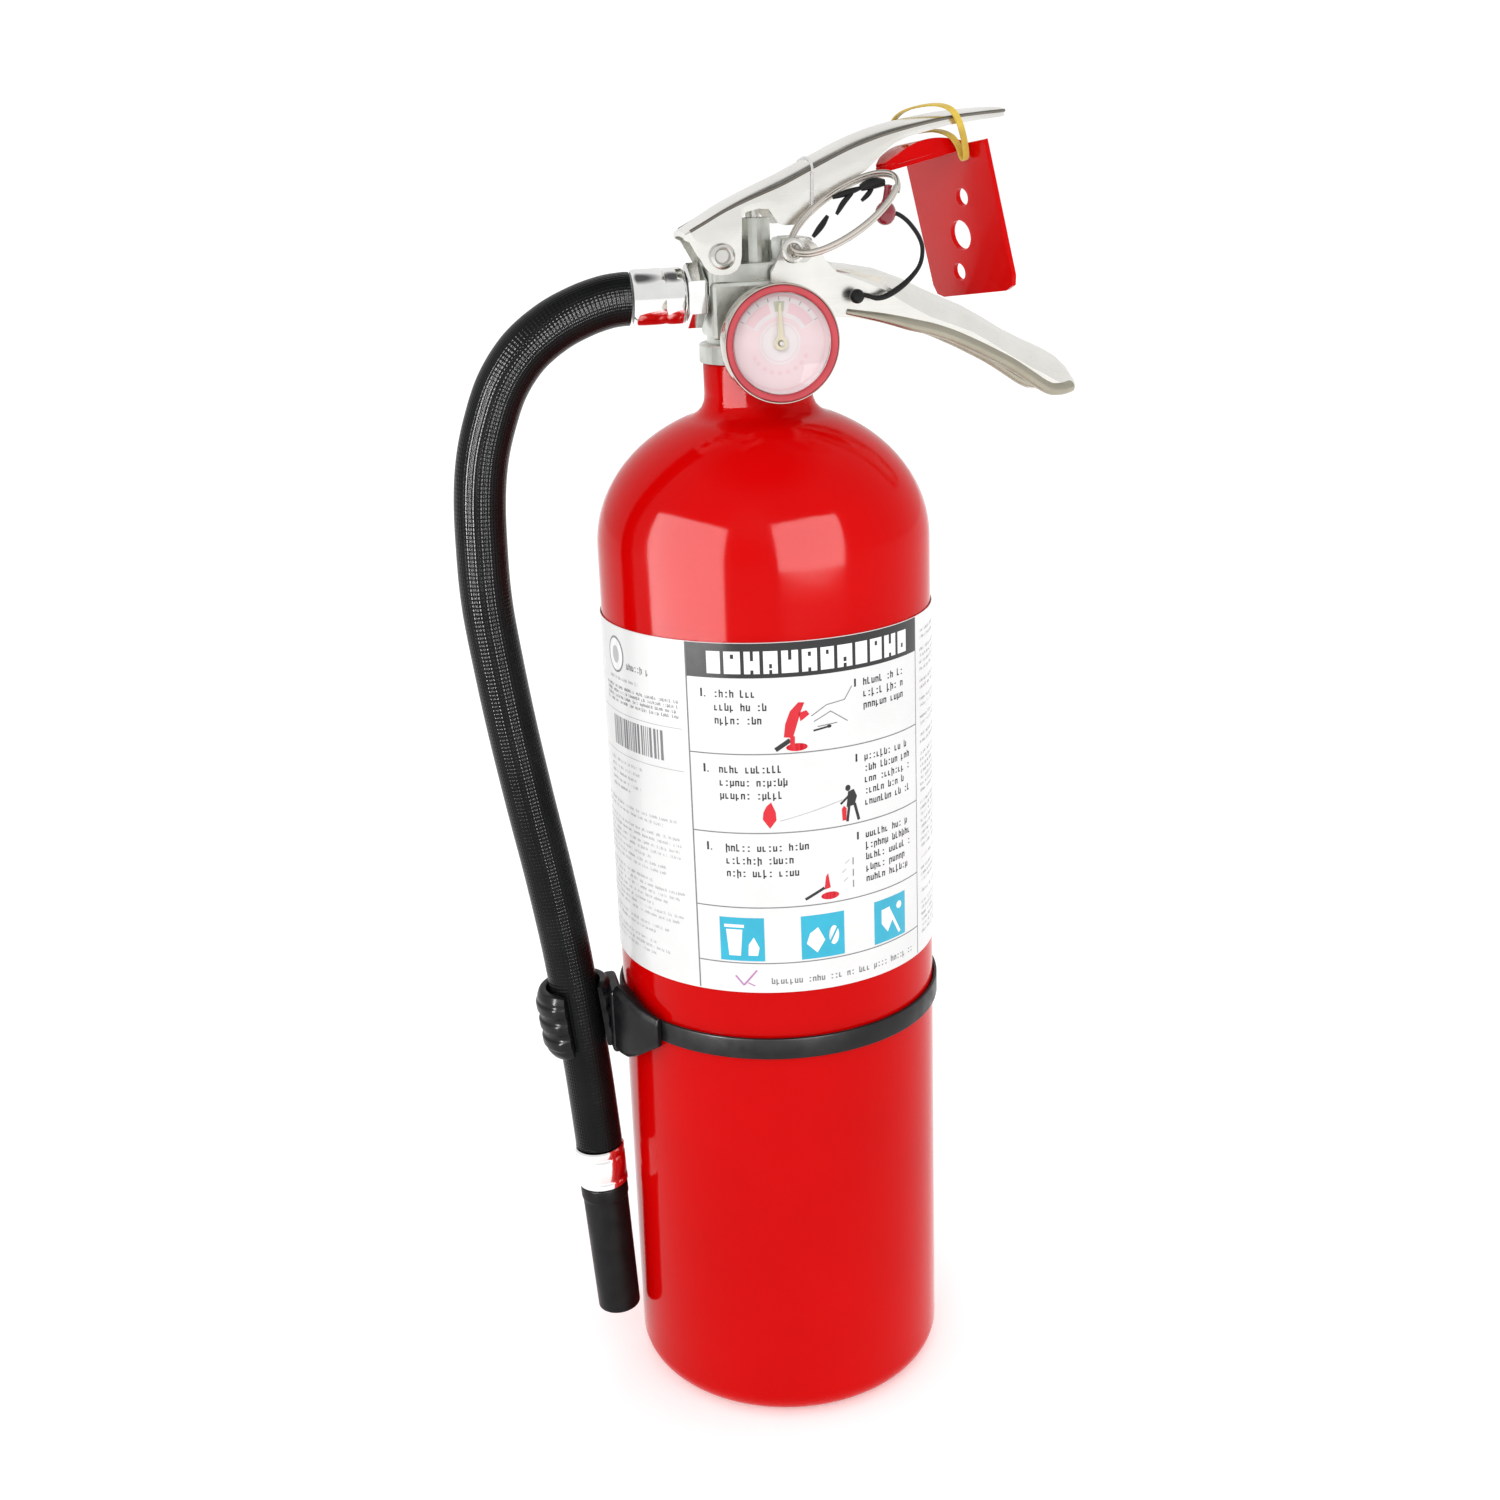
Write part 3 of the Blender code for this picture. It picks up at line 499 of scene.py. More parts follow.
def make_label():
    """The wrap, one section per degree, with its corners trimmed."""
    rings = []
    last = int(2 * LABEL_HALF)
    for i in range(last + 1):
        a = -LABEL_HALF + i
        trim = 1.5 if i in (0, last) else 0.0
        low, high = LABEL_Z[0] + trim, LABEL_Z[1] - trim
        inside = LABEL_R - 0.3
        rings.append([polar(a, inside, low), polar(a, LABEL_R, low), polar(a, LABEL_R, high),
                      polar(a, inside, high)])
    keep("label_wrap", loft(rings), VINYL, hides=["label"], angle=50)


class Print:
    """Flat shapes of one ink wrapped on the label: angles in degrees, heights in mm."""

    def __init__(self, rng):
        self.sheets = {}
        self.rng = rng

    def sheet(self, ink):
        if ink not in self.sheets:
            self.sheets[ink] = bmesh.new()
        return self.sheets[ink]

    def shape(self, ink, points, lift=0.0):
        """A convex outline of (angle, z) cut into narrow upright strips."""
        bm = self.sheet(ink)
        low = min(a for a, _ in points)
        high = max(a for a, _ in points)
        count = max(1, int(ceil((high - low) / 1.5)))
        cuts = sorted(set([low + (high - low) * i / count for i in range(count + 1)]
                          + [a for a, _ in points]))
        spans = []
        for a in cuts:
            hits = []
            for (a0, z0), (a1, z1) in zip(points, points[1:] + points[:1]):
                if min(a0, a1) - 1e-9 <= a <= max(a0, a1) + 1e-9:
                    if abs(a1 - a0) < 1e-9:
                        hits += [z0, z1]
                    else:
                        hits.append(z0 + (z1 - z0) * (a - a0) / (a1 - a0))
            spans.append((min(hits), max(hits)))
        r = INK_R + lift
        columns = [(bm.verts.new(polar(a, r, lo)), bm.verts.new(polar(a, r, hi)))
                   for a, (lo, hi) in zip(cuts, spans)]
        for (a, b), (c, d) in zip(columns, columns[1:]):
            bm.faces.new((a, c, d, b))

    def bar(self, ink, a0, a1, z0, z1, lift=0.0):
        self.shape(ink, [(a0, z0), (a1, z0), (a1, z1), (a0, z1)], lift)

    def line(self, ink, a0, z0, a1, z1, width, lift=0.0):
        d = Vector(((a1 - a0) * MM_PER_DEG, z1 - z0))
        n = Vector((-d.y, d.x)).normalized() * width / 2
        aside = n.x / MM_PER_DEG
        self.shape(ink, [(a0 + aside, z0 + n.y), (a1 + aside, z1 + n.y),
                         (a1 - aside, z1 - n.y), (a0 - aside, z0 - n.y)], lift)

    def disc(self, ink, a, z, wide, tall, lift=0.0, count=20):
        turns = [2 * pi * i / count for i in range(count)]
        self.shape(ink, [(a + wide / MM_PER_DEG * cos(t), z + tall * sin(t))
                         for t in turns], lift)

    def words(self, ink, a0, a1, z, tall, letter):
        """A line of dummy text: short upright strokes grouped into words."""
        rng = self.rng
        a = a0
        left = rng.randint(3, 7)
        while a + letter < a1:
            if left == 0:
                a += letter
                left = rng.randint(2, 7)
                continue
            rise = tall * rng.choice((0.72, 0.72, 0.78, 1.0, 1.0))
            drop = tall * rng.choice((0.0, 0.0, 0.0, 0.22))
            kind = rng.randint(0, 3)
            stroke = letter * 0.26
            near, far = a + stroke * 0.9, a + letter * 0.6
            if kind != 3:
                self.bar(ink, a, a + stroke, z - drop, z + rise)
            if kind in (0, 1):
                self.bar(ink, a + letter * 0.52, a + letter * 0.78, z, z + tall * 0.72)
            if kind in (0, 3):
                self.bar(ink, near, far, z + tall * 0.56, z + tall * 0.74, 0.004)
            if kind in (1, 2, 3):
                self.bar(ink, near, far, z, z + tall * 0.18, 0.004)
            a += letter
            left -= 1

    def keep(self):
        for ink in sorted(self.sheets):
            keep("label_print_" + ink, self.sheets[ink], INK[ink], angle=180)


# The printed panel: its sides in degrees, the rules below its rows and its black band in mm
PANEL = (-40.0, 46.5)
RULES = (285.4, 255.0, 225.5, 203.0)
BAND_Z = (314.0, 326.8)


def header(art):
    """The black head band with a row of dummy block capitals."""
    art.bar("black", *PANEL, *BAND_Z)
    letters = ((0, 3, 0), (1, 1, 0), (2, 0, 1), (0, 2, 1), (1, 0, 0), (2, 1, 1), (0, 1, 0),
               (1, 2, 1), (0, 3, 0), (2, 1, 0), (1, 0, 1), (0, 2, 0))
    a = -32.6
    for wide, top, low in letters:
        width = (4.6, 5.4, 5.0)[wide]
        art.bar("white", a, a + width, 315.6, 323.9, 0.02)
        slit = width * 0.2
        mid = a + width / 2
        sides = (mid - slit / 2, mid + slit / 2)
        if top < 3:
            z = (320.4, 321.2, 317.6)[top]
            art.bar("black", *sides, z, 323.95 if top == 0 else z + 1.6, 0.04)
        if low:
            art.bar("black", *sides, 315.55, 317.0, 0.04)
        a += width + 1.2


def instruction_rows(art):
    """Rules between the rows, and the numbered dummy text on both sides of each row."""
    for z in RULES:
        art.bar("grey", *PANEL, z - 0.22, z + 0.22)
    for a0, a1 in ((-40.3, -39.8), (46.3, 46.7)):
        art.bar("grey", a0, a1, 191.4, BAND_Z[1])
    tops = (BAND_Z[0],) + RULES[:2]
    left_ends = ((-13.5, -12.0, -14.5), (-5.4, -6.6, -7.4), (-0.4, -5.4, -3.6))
    for top, start, ends in zip(tops, (-30.6, -29.8, -28.6), left_ends):
        art.bar("black", -35.2, -34.5, top - 7.2, top - 4.0)
        art.bar("black", -33.9, -33.4, top - 7.2, top - 6.7)
        for i, end in enumerate(ends):
            art.words("black", start, end, top - 7.2 - 5.0 * i, 2.9, 1.75)
    for top, count, end in zip(tops, (3, 5, 5), (42.0, 43.5, 43.5)):
        art.bar("black", 16.3, 17.0, top - 6.6, top - 3.6)
        for i in range(count):
            art.words("black", 19.8, end - art.rng.uniform(0, 4), top - 6.6 - 4.4 * i, 2.7, 1.7)


def row_figures(art):
    """Generic figures for the three rows, made of flat shapes."""
    # first row: a small red bottle with a black nozzle and a hand drawn in grey lines
    art.shape("red", [(-8.2, 291.6), (-5.2, 291.2), (-2.4, 301.0), (-1.2, 304.2),
                      (-3.2, 304.4), (-6.0, 301.2), (-7.6, 296.6)])
    art.shape("red", [(-2.6, 297.2), (0.4, 299.6), (-0.6, 301.2), (-3.2, 300.4)])
    art.disc("red", -4.0, 287.6, 4.0, 1.5)
    art.bar("red", -6.2, -4.6, 287.6, 291.8)
    art.line("black", -11.0, 286.9, -6.2, 290.4, 1.7)
    for a0, z0, a1, z1 in ((1.0, 298.8, 6.2, 302.4), (1.8, 296.6, 7.6, 299.8),
                           (6.2, 302.4, 12.6, 303.4), (7.6, 299.8, 13.6, 295.2),
                           (3.0, 294.6, 9.8, 295.2), (12.6, 303.4, 15.4, 308.0)):
        art.line("grey", a0, z0, a1, z1, 0.35)
    art.line("black", 1.6, 293.2, 7.0, 294.2, 0.7)
    art.disc("black", 7.0, 294.2, 0.9, 0.6)
    # second row: flame, aiming line and a bent figure
    art.shape("red", [(-15.9, 260.4), (-13.6, 256.8), (-11.4, 260.0), (-11.6, 263.2),
                      (-13.0, 267.0), (-14.6, 265.4), (-15.6, 263.2)])
    art.line("pale", -10.2, 259.6, 11.0, 265.2, 0.3)
    art.disc("black", 13.2, 269.4, 1.1, 1.2)
    art.shape("black", [(12.6, 262.0), (15.6, 262.4), (16.6, 265.6), (15.4, 268.6),
                        (13.2, 268.0)])
    art.line("black", 10.4, 263.6, 13.6, 266.4, 0.9)
    art.line("black", 15.6, 263.0, 17.2, 256.2, 1.2)
    art.line("black", 13.6, 262.8, 12.8, 256.4, 1.1)
    art.shape("red", [(11.0, 257.0), (12.4, 257.0), (12.6, 261.6), (11.6, 262.8),
                      (10.8, 261.6)])
    # third row: bottle and sweep marks
    art.shape("red", [(4.0, 231.0), (6.2, 231.6), (5.4, 237.4), (4.6, 236.2)])
    art.disc("red", 6.0, 228.4, 3.6, 1.5)
    art.line("black", -2.6, 228.0, 4.0, 231.8, 1.1)
    for z in (230.0, 234.4, 239.0):
        art.bar("grey", 14.4, 14.8, z, z + 2.8)
    for a, z in ((11.0, 233.0), (10.4, 236.6), (11.6, 240.0)):
        art.line("pale", a, z, a + 1.6, z + 1.2, 0.3)


def pictograms(art):
    """Three blue squares with plain white signs, then the tick of the last row."""
    lift = 0.03

    def sign(a, *points):
        art.shape("white", [(a + da, z) for da, z in points], lift)

    def square(a):
        art.bar("blue", a - 7.6, a + 7.6, 203.9, 221.4)
        return a

    first = square(-24.3)
    sign(first, (-4.6, 206.0), (-0.6, 206.0), (0.2, 216.6), (-5.4, 216.6))
    art.bar("white", first - 6.0, first + 0.8, 217.4, 218.6, lift)
    sign(first, (2.0, 206.2), (5.2, 206.2), (5.8, 209.4), (4.0, 213.6), (2.2, 210.6))
    second = square(3.2)
    sign(second, (-5.8, 210.2), (-2.2, 206.2), (0.6, 211.0), (-1.8, 216.4), (-4.6, 214.2))
    art.disc("white", second + 3.8, 212.4, 2.0, 3.8, lift)
    art.line("blue", second + 2.4, 209.6, second + 5.2, 215.6, 0.8, lift + 0.02)
    third = square(30.4)
    sign(third, (-4.4, 211.6), (-1.6, 207.6), (0.8, 212.0), (-0.6, 217.6), (-4.4, 217.2))
    art.line("white", third - 1.0, 216.6, third + 4.4, 205.6, 1.3, lift)
    art.disc("white", third + 4.2, 216.8, 1.5, 1.5, lift)
    art.line("plum", -27.0, 197.8, -24.2, 194.0, 0.7)
    art.line("plum", -24.2, 194.0, -19.6, 200.2, 0.7)
    art.line("plum", -22.8, 195.0, -20.4, 193.8, 0.5)


def small_print(art, columns, top, bottom, gaps, tall=1.2, letter=1.0):
    """Ragged lines of pale dummy text; each column is its start and the lengths drawn from."""
    z = top
    while z > bottom:
        for start, lengths in columns:
            art.words("pale", start, start + art.rng.choice(lengths), z, tall, letter)
        z -= art.rng.choice(gaps)


def side_columns(art):
    """What is printed left and right of the panel: plain badge, bar code, small print."""
    for ink, wide, tall, lift, count in (("grey", 6.2, 7.0, 0.0, 28), ("white", 5.4, 6.2, 0.02, 28),
                                         ("pale", 2.6, 3.4, 0.04, 20)):
        art.disc(ink, -74.5, 316.0, wide, tall, lift, count)
    art.words("grey", -67.4, -54.0, 311.6, 2.6, 1.5)
    art.words("pale", -80.0, -61.0, 306.4, 1.3, 0.9)
    for i in range(4):
        art.words("grey", -84.0, -42.6, 303.0 - 1.9 * i, 1.2, 0.9)
    # bar code in its box
    for z in (293.4, 277.0):
        art.bar("pale", -90.0, -42.5, z - 0.12, z + 0.12)
    a = -79.0
    while a < -50.0:
        wide = art.rng.choice((0.35, 0.5, 0.8, 1.1))
        art.bar("grey", a, a + wide, 280.0, 291.6)
        a += wide + art.rng.choice((0.4, 0.6, 0.9))
    for i in range(5):
        art.words("pale", -84.0, -66.0 + art.rng.uniform(-5, 5), 273.2 - 2.7 * i, 1.2, 0.9)
    small_print(art, ((-92.0, (48.0, 46.5, 40.0, 34.0)),), 256.0, 196.0, (2.4, 2.4, 2.6, 4.4),
                1.15, 0.95)
    small_print(art, ((50.0, (42.0, 36.0, 24.0)),), 320.0, 196.0, (2.5, 2.5, 2.7, 4.6))
    far = (24.0, 28.0, 20.0)
    small_print(art, ((-128.0, far), (100.0, far)), 320.0, 200.0, (3.0, 3.2, 5.6))


def make_print():
    art = Print(random.Random(4))
    header(art)
    instruction_rows(art)
    row_figures(art)
    pictograms(art)
    art.words("grey", -14.8, 43.0, 194.6, 2.5, 1.55)
    side_columns(art)
    art.keep()


make_cylinder()
make_label()
make_print()


# ---- lever and carry handle
# The lever's arch, from its shoulder to the ridge: share of the half width, share of the crown
ARCH = [
    (1.0, 1.0), (0.985, 0.80), (0.95, 0.62), (0.88, 0.45), (0.78, 0.31),
    (0.62, 0.18), (0.42, 0.08), (0.21, 0.02)]

# Lower edge of the carry handle: x, half width, z
HANDLE_EDGE = [
    (31.0, 13.8, 434.2), (44.9, 13.8, 431.2), (55.7, 13.8, 428.2),
    (63.5, 13.7, 426.2), (71.4, 13.6, 423.4), (79.3, 13.5, 419.8), (87.2, 13.4, 415.8),
    (95.2, 13.2, 411.4), (103.3, 12.9, 406.0), (108.0, 12.6, 402.8), (112.0, 12.0, 401.0),
    (116.5, 10.8, 400.8), (120.5, 8.6, 401.2)]

# Stations of the lever's back: x, ridge z, half width, crown; then its lower edge: x, z
LEVER_BACK = [
    (-27.4, 466.4, 11.0, 1.2), (-25.4, 467.7, 11.3, 1.6),
    (-20.6, 470.6, 11.3, 2.2), (-12.0, 475.6, 11.3, 3.0), (-2.0, 480.2, 11.3, 3.8),
    (8.6, 484.6, 11.3, 4.4), (17.8, 488.8, 11.3, 4.4), (24.6, 491.9, 11.4, 4.3),
    (32.9, 495.6, 12.2, 4.2), (40.0, 498.2, 13.0, 4.2), (46.0, 500.0, 13.7, 4.1),
    (55.0, 502.0, 14.2, 3.8), (69.7, 504.3, 14.2, 3.2), (82.0, 505.2, 13.6, 2.8),
    (89.5, 505.4, 11.8, 2.4), (93.3, 505.2, 8.2, 1.8)]
LEVER_EDGE = [
    (-27.4, 463.6), (-25.4, 462.6), (-22.6, 457.6), (-20.8, 454.2), (-19.0, 452.0), (-16.8, 451.1),
    (-14.4, 450.9), (-11.4, 451.1), (-9.0, 452.3), (-7.5, 454.4), (-6.9, 457.4), (-6.4, 470.4),
    (-4.6, 472.4), (0.0, 473.4), (3.5, 473.0), (5.6, 470.0), (7.2, 467.9), (9.6, 467.2),
    (13.4, 467.3), (15.8, 468.8), (17.8, 471.8), (24.6, 476.0), (32.9, 480.9), (40.0, 485.4),
    (46.0, 491.0), (50.0, 494.0), (55.0, 496.0), (69.7, 499.4), (82.0, 500.9), (89.5, 501.6),
    (93.3, 502.0)]


def at_x(run, x):
    """The point of a run of increasing x, by straight steps."""
    for a, b in zip(run, run[1:]):
        if x <= b[0]:
            share = max(0.0, (x - a[0]) / (b[0] - a[0]))
            return [p + (q - p) * share for p, q in zip(a, b)]
    return list(run[-1])


def arch_outline(half, low, ridge, crown):
    """Across the lever, from foot to foot over its arched back: (y, z)."""
    side = [(half, low), (half, (low + ridge - crown) / 2)]
    side += [(half * u, ridge - crown * v) for u, v in ARCH]
    return [(-y, z) for y, z in side] + [(0, ridge)] + side[::-1]


def channel(back, edge, thick, step):
    """Pressed channel open below."""
    tops = [tuple(v) for v in catmull([(x, ridge, crown) for x, ridge, half, crown in back], 8)]
    halves = [tuple(v) for v in catmull([(x, half, 0) for x, ridge, half, crown in back], 8)]
    low_x, high_x = back[0][0], back[-1][0]
    count = int((high_x - low_x) / step)
    places = sorted([low_x + (high_x - low_x) * i / count for i in range(count + 1)]
                    + [x for x, z in edge[1:-1]])
    sections = []
    last = None
    for x in places:
        if last is not None and x - last < 0.25:
            continue
        last = x
        ridge, crown = at_x(tops, x)[1:]
        half = at_x(halves, x)[1]
        low = at_x(edge, x)[1]
        outer = arch_outline(half, low, ridge, crown)
        feet = (0, 1, len(outer) - 2, len(outer) - 1)
        k = (half - thick) / half
        inner = [(y * k, max(z - (0.0 if j in feet else thick), low))
                 for j, (y, z) in enumerate(outer)]
        sections.append([(x, y, z) for y, z in outer + inner[::-1]])
    return loft(sections)


def rivet(name, at, reach, head, hides):
    """Domed head on both sides with a dished centre."""
    rise = ((0, 1.9), (2.2, 1.9), (2.7, 0.4), (3.2, 0), (4.1, 0.2), (head, 0.8), (head, 2.2),
            (3.0, 2.2))
    profile = [(r, h - reach) for r, h in rise]
    profile += [(r, -h) for r, h in reversed(profile)]
    keep(name, lathe(profile, 48, (at[0], 0, at[1]), (0, 1, 0)), STEEL, hides=hides, angle=50)


def make_lips_and_crease_shadows():
    """Rolled edges along both sides of the carry handle, darkened as a painted reflection, and
    dark tubes as painted shadow lines along the folds of the lever's back.
    """
    for side, end in ((-1, "front"), (1, "back")):
        # The lip's dark metal is a painted reflection of the dark floor and red body
        run = catmull([(x, side * (half - 0.3), z + 1.7) for x, half, z in HANDLE_EDGE], 5)
        bm, _ = tube(run, lambda t: 1.1 + 1.2 * min(1.0, 4 * t), 16)
        keep("handle_lip_" + end, bm, LIP_PAINTED_REFLECTION, angle=60)
        # A thin dark tube under the rolled shoulder of the lever's back: a painted shadow line
        run = catmull([(x, side * 0.98 * half, ridge - 0.74 * crown)
                       for x, ridge, half, crown in LEVER_BACK[1:]], 6)
        bm, _ = tube(run, 0.6, 12)
        keep("lever_crease_" + end, bm, CREASE_SHADOW, body="lever", angle=60)


make_lips_and_crease_shadows()
keep("lever_pressed", channel(LEVER_BACK, LEVER_EDGE, 1.8, 2.0), PLATE, body="lever",
     hides=["lever"], bevel=0.35, angle=40)
rivet("lever_rivet_head", LEVER_PIVOT, 13.6, 4.6, ["lever_rivet"])
rivet("handle_rivet_head", HANDLE_RIVET, 16.2, 4.6, ["handle_rivet"])


# ---- gauge
def dial_arc(name, inner, outer, a0, a1, mat, y):
    """A flat printed arc on the dial: degrees clockwise from straight up."""
    bm = bmesh.new()
    count = max(2, int(abs(a1 - a0) / 4))
    base = Vector((GAUGE[0], -y, GAUGE[1]))
    pairs = []
    for i in range(count + 1):
        a = radians(a0 + (a1 - a0) * i / count)
        d = Vector((sin(a), 0, cos(a)))
        pairs.append((bm.verts.new(base + d * inner), bm.verts.new(base + d * outer)))
    for (a, b), (c, d) in zip(pairs, pairs[1:]):
        bm.faces.new((a, b, d, c))
    keep("dial_" + name, bm, mat, angle=180)


def make_gauge():
    def turned(name, profile, mat, hides=(), closed=True):
        bm = lathe(profile, 96, (GAUGE[0], 0, GAUGE[1]), (0, -1, 0), closed)
        return keep(name, bm, mat, hides=hides, angle=40)

    back, front = GAUGE_BACK, GAUGE_FRONT
    case = [(5.2, back), (18.6, back), (20.2, back + 0.4), (GAUGE_R - 0.2, back + 1.6),
            (GAUGE_R, back + 3.0)]
    cup = case + [(GAUGE_R, front - 1.3), (21.0, front - 0.8), (20.7, front - 0.7),
                  (20.4, front - 1.0), (20.4, front - 2.9), (18.0, front - 2.9), (18.0, back + 1.6),
                  (5.2, back + 1.6)]
    rim = [(18.0, front - 2.6), (20.3, front - 2.6), (20.3, front - 0.5), (20.0, front - 0.12),
           (19.4, front), (18.5, front - 0.3), (18.0, front - 1.0)]
    lens = [(0, front - 2.0), (17.4, front - 2.0), (17.7, front - 1.8), (17.7, front - 1.1),
            (15.0, front - 0.75), (10.0, front - 0.5), (5.0, front - 0.38), (0, front - 0.34)]
    face = back + 5.8
    turned("gauge_cup", cup, WIRE, ["gauge_case"])
    turned("gauge_rim", rim, RIM)
    window = turned("gauge_window", lens, GLASS, ["gauge_lens"], closed=False)
    window.visible_shadow = False
    turned("gauge_face", [(1.1, face - 0.6), (17.6, face - 0.6), (17.6, face), (1.1, face)], DIAL,
           ["gauge_dial"])
    # printed arcs: radii, degrees, colour, height above the face
    for name, inner, outer, a0, a1, mat, lift in (
            ("ring_outer", 15.6, 16.2, 0, 360, DIAL_RED, 0.05),
            ("field", 8.8, 15.4, -62, 62, DIAL_WHITE, 0.05),
            ("safe_zone", 10.6, 14.0, -8, 8, DIAL_GREEN, 0.10),
            ("low_zone", 10.4, 13.8, -60, -16, DIAL_RED, 0.10),
            ("high_zone", 10.4, 13.8, 16, 60, DIAL_RED, 0.10),
            ("ring_inner", 6.6, 7.3, 0, 360, DIAL_WHITE, 0.08),
            ("centre", 1.3, 6.2, 0, 360, DIAL_WHITE, 0.06)):
        dial_arc(name, inner, outer, a0, a1, mat, face + lift)
    for i, a in enumerate(range(-60, 61, 15)):
        dial_arc("tick_%d" % i, 14.2, 15.5, a - 0.6, a + 0.6, INK["pale"], face + 0.14)
    for i, a in enumerate((118, 134, 150, 166, 182, 198, 214, 230, 242)):
        dial_arc("mark_%d" % i, 9.6, 10.9, a - 4.4, a + 4.4, DIAL_RED, face + 0.1)


make_gauge()


# ---- pull ring and seal
def make_ring():
    """Split ring of two turns of wire lying side by side."""
    u = RING_END - EYE
    half = u.length / 2
    u.normalize()
    v = Vector((u.z * 0.7, -0.714, -u.x * 0.7)).normalized()
    n = u.cross(v)
    centre = EYE + u * half
    steps = 72
    total = 2 * steps
    points = []
    for i in range(total + 1):
        a = 2 * pi * i / steps + 0.5
        side = -1.75 + 3.5 * i / total
        points.append(centre + u * half * cos(a) + v * 10.0 * sin(a) + n * side)
    bm, _ = tube(points, 0.84, 14)
    keep("split_ring", bm, WIRE, body="ring", hides=["pull_ring"], angle=60)


def make_seal():
    """The thin seal from the ring to the handle, its red lock, its end knob and its tags."""
    route = [(45.4, -22.4, 470.4), (48.6, -22.3, 469.6), (52.6, -21.8, 466.6), (56.6, -21.0, 461.4),
             (58.0, -20.5, 456.4), (56.6, -20.2, 450.8), (51.5, -20.0, 445.4), (45.4, -19.6, 441.6),
             (41.4, -19.3, 440.6), (38.2, -19.1, 441.4), (35.4, -19.0, 442.2)]
    bm, _ = tube(catmull(route, 10), lambda t: 0.8 + 0.35 * exp(-((t - 0.74) / 0.16) ** 2), 12)
    keep("seal_loop", bm, BLACK, body="ring", hides=["seal_strap"], angle=60)
    lock = [(0, -4.3), (1.4, -4.0), (2.5, -3.3), (3.4, -1.9), (3.75, -0.3), (3.7, 0.8), (3.3, 2.0),
            (2.6, 3.0), (1.9, 3.6), (1.5, 5.0), (1.3, 8.4), (1.7, 9.6), (0, 10.0)]
    keep("seal_bulb", lathe(lock, 40, (43.7, -22.4, 470.3), (0.12, 0, 1)), SEAL, body="ring",
         hides=["seal_lock"], angle=50)
    knob = [(0, -2.2), (1.4, -2.0), (2.2, -1.5), (2.6, -0.7), (2.6, 0.7), (2.2, 1.5), (1.4, 2.0),
            (0, 2.2)]
    keep("seal_end_knob", lathe(knob, 32, (33.6, -19.0, 441.6), (0, 1, 0)), BLACK, body="ring",
         hides=["seal_knob"], angle=50)
    # pieces of the forked black tag that hangs in the ring: three points and a thickness
    tags = (((24.6, -21.0, 476.4), (29.0, -21.6, 477.6), (34.6, -22.2, 479.2), 1.0),
            ((25.6, -22.4, 470.6), (28.4, -22.2, 474.6), (31.6, -22.2, 477.6), 0.9),
            ((34.6, -22.2, 479.2), (38.6, -22.6, 480.6), (43.4, -22.6, 480.8), 1.7),
            ((35.0, -22.0, 474.8), (37.6, -22.2, 477.2), (39.4, -22.4, 479.8), 0.8),
            ((17.0, -21.6, 463.2), (20.6, -21.6, 467.4), (22.6, -21.4, 470.2), 1.0))
    for i, (*route, thick) in enumerate(tags):
        bm, _ = tube(catmull(route, 5), lambda t: thick * (0.7 + 0.5 * sin(pi * t)), 10)
        keep("seal_tag_%d" % i, bm, BLACK, body="ring", angle=60)


make_ring()
make_seal()


# ---- strap, clip and buckle
def make_clip():
    low, high = STRAP_Z
    near, far = BODY_R + 0.3, BODY_R + 1.7
    band = round_corners([(near, low), (far, low), (far, high), (near, high)], 0.5, 3)
    keep("strap_band", lathe(band, 180, closed=True), BAND, hides=["hose_strap"])

    axis = Vector((-sin(CLIP_LEAN), 0, cos(CLIP_LEAN)))
    outline = [(10.9, -14.2), (13.6, -14.2), (15.0, -11.6)]
    for z in (-7.4, 0.0, 7.4):
        outline += [(15.0, z - 2.6), (16.0, z - 1.8), (16.0, z + 1.8), (15.0, z + 2.6)]
    outline += [(15.0, 11.6), (13.6, 14.2), (10.9, 14.2)]
    outline = round_corners(outline, 0.7, 3)
    # the jaw wraps the hose and thins at both of its ends
    middle = 12.4
    sections = []
    count = 56
    for i in range(count + 1):
        a = radians(-40 + 285 * i / count)
        radial = Vector((cos(a), sin(a), 0))
        radial = (radial - axis * radial.dot(axis)).normalized()
        ease = min(1.0, i / 3, (count - i) / 3)
        sections.append([CLIP_CENTRE + radial * (middle + (r - middle) * (0.55 + 0.45 * ease))
                         + axis * z * (0.92 + 0.08 * ease) for r, z in outline])
    keep("clip_jaw", loft(sections), CLIP, hides=["hose_clip"], angle=40)

    keep("clip_saddle", box((5.2, 21.6, 27.0), (-68.8, -1.8, 163.0)), CLIP, bevel=1.6, segments=4)
    for i, z in enumerate((154.0, 160.0, 166.0, 172.0)):
        keep("clip_rib_%d" % i, box((3.0, 3.4, 2.4), (-69.0, -13.6, z)), CLIP, bevel=0.6, segments=3)

    # the buckle's wedge: degrees round the cylinder, thickness, lower and upper edge
    wedge = []
    spans = ((-79, 6.4, 150.4, 180.0), (-76, 6.5, 150.4, 179.8), (-73, 6.0, 150.8, 179.0),
             (-69.5, 5.4, 152.6, 177.6), (-66, 4.6, 155.0, 176.0), (-61.5, 3.6, 158.4, 174.8),
             (-57, 2.6, 161.6, 173.6))
    near = BODY_R + 2.1
    for deg, thick, z0, z1 in spans:
        shape = [(near, z0 + 0.6), (near + thick * 0.7, z0), (near + thick, z0 + 2.2),
                 (near + thick, z1 - 2.2), (near + thick * 0.7, z1), (near, z1 - 0.6)]
        wedge.append([polar(deg, r, z) for r, z in round_corners(shape, 1.0, 3)])
    keep("buckle_wedge", loft(wedge), CLIP, hides=["strap_buckle"], bevel=0.5, segments=3,
         angle=50)


make_clip()


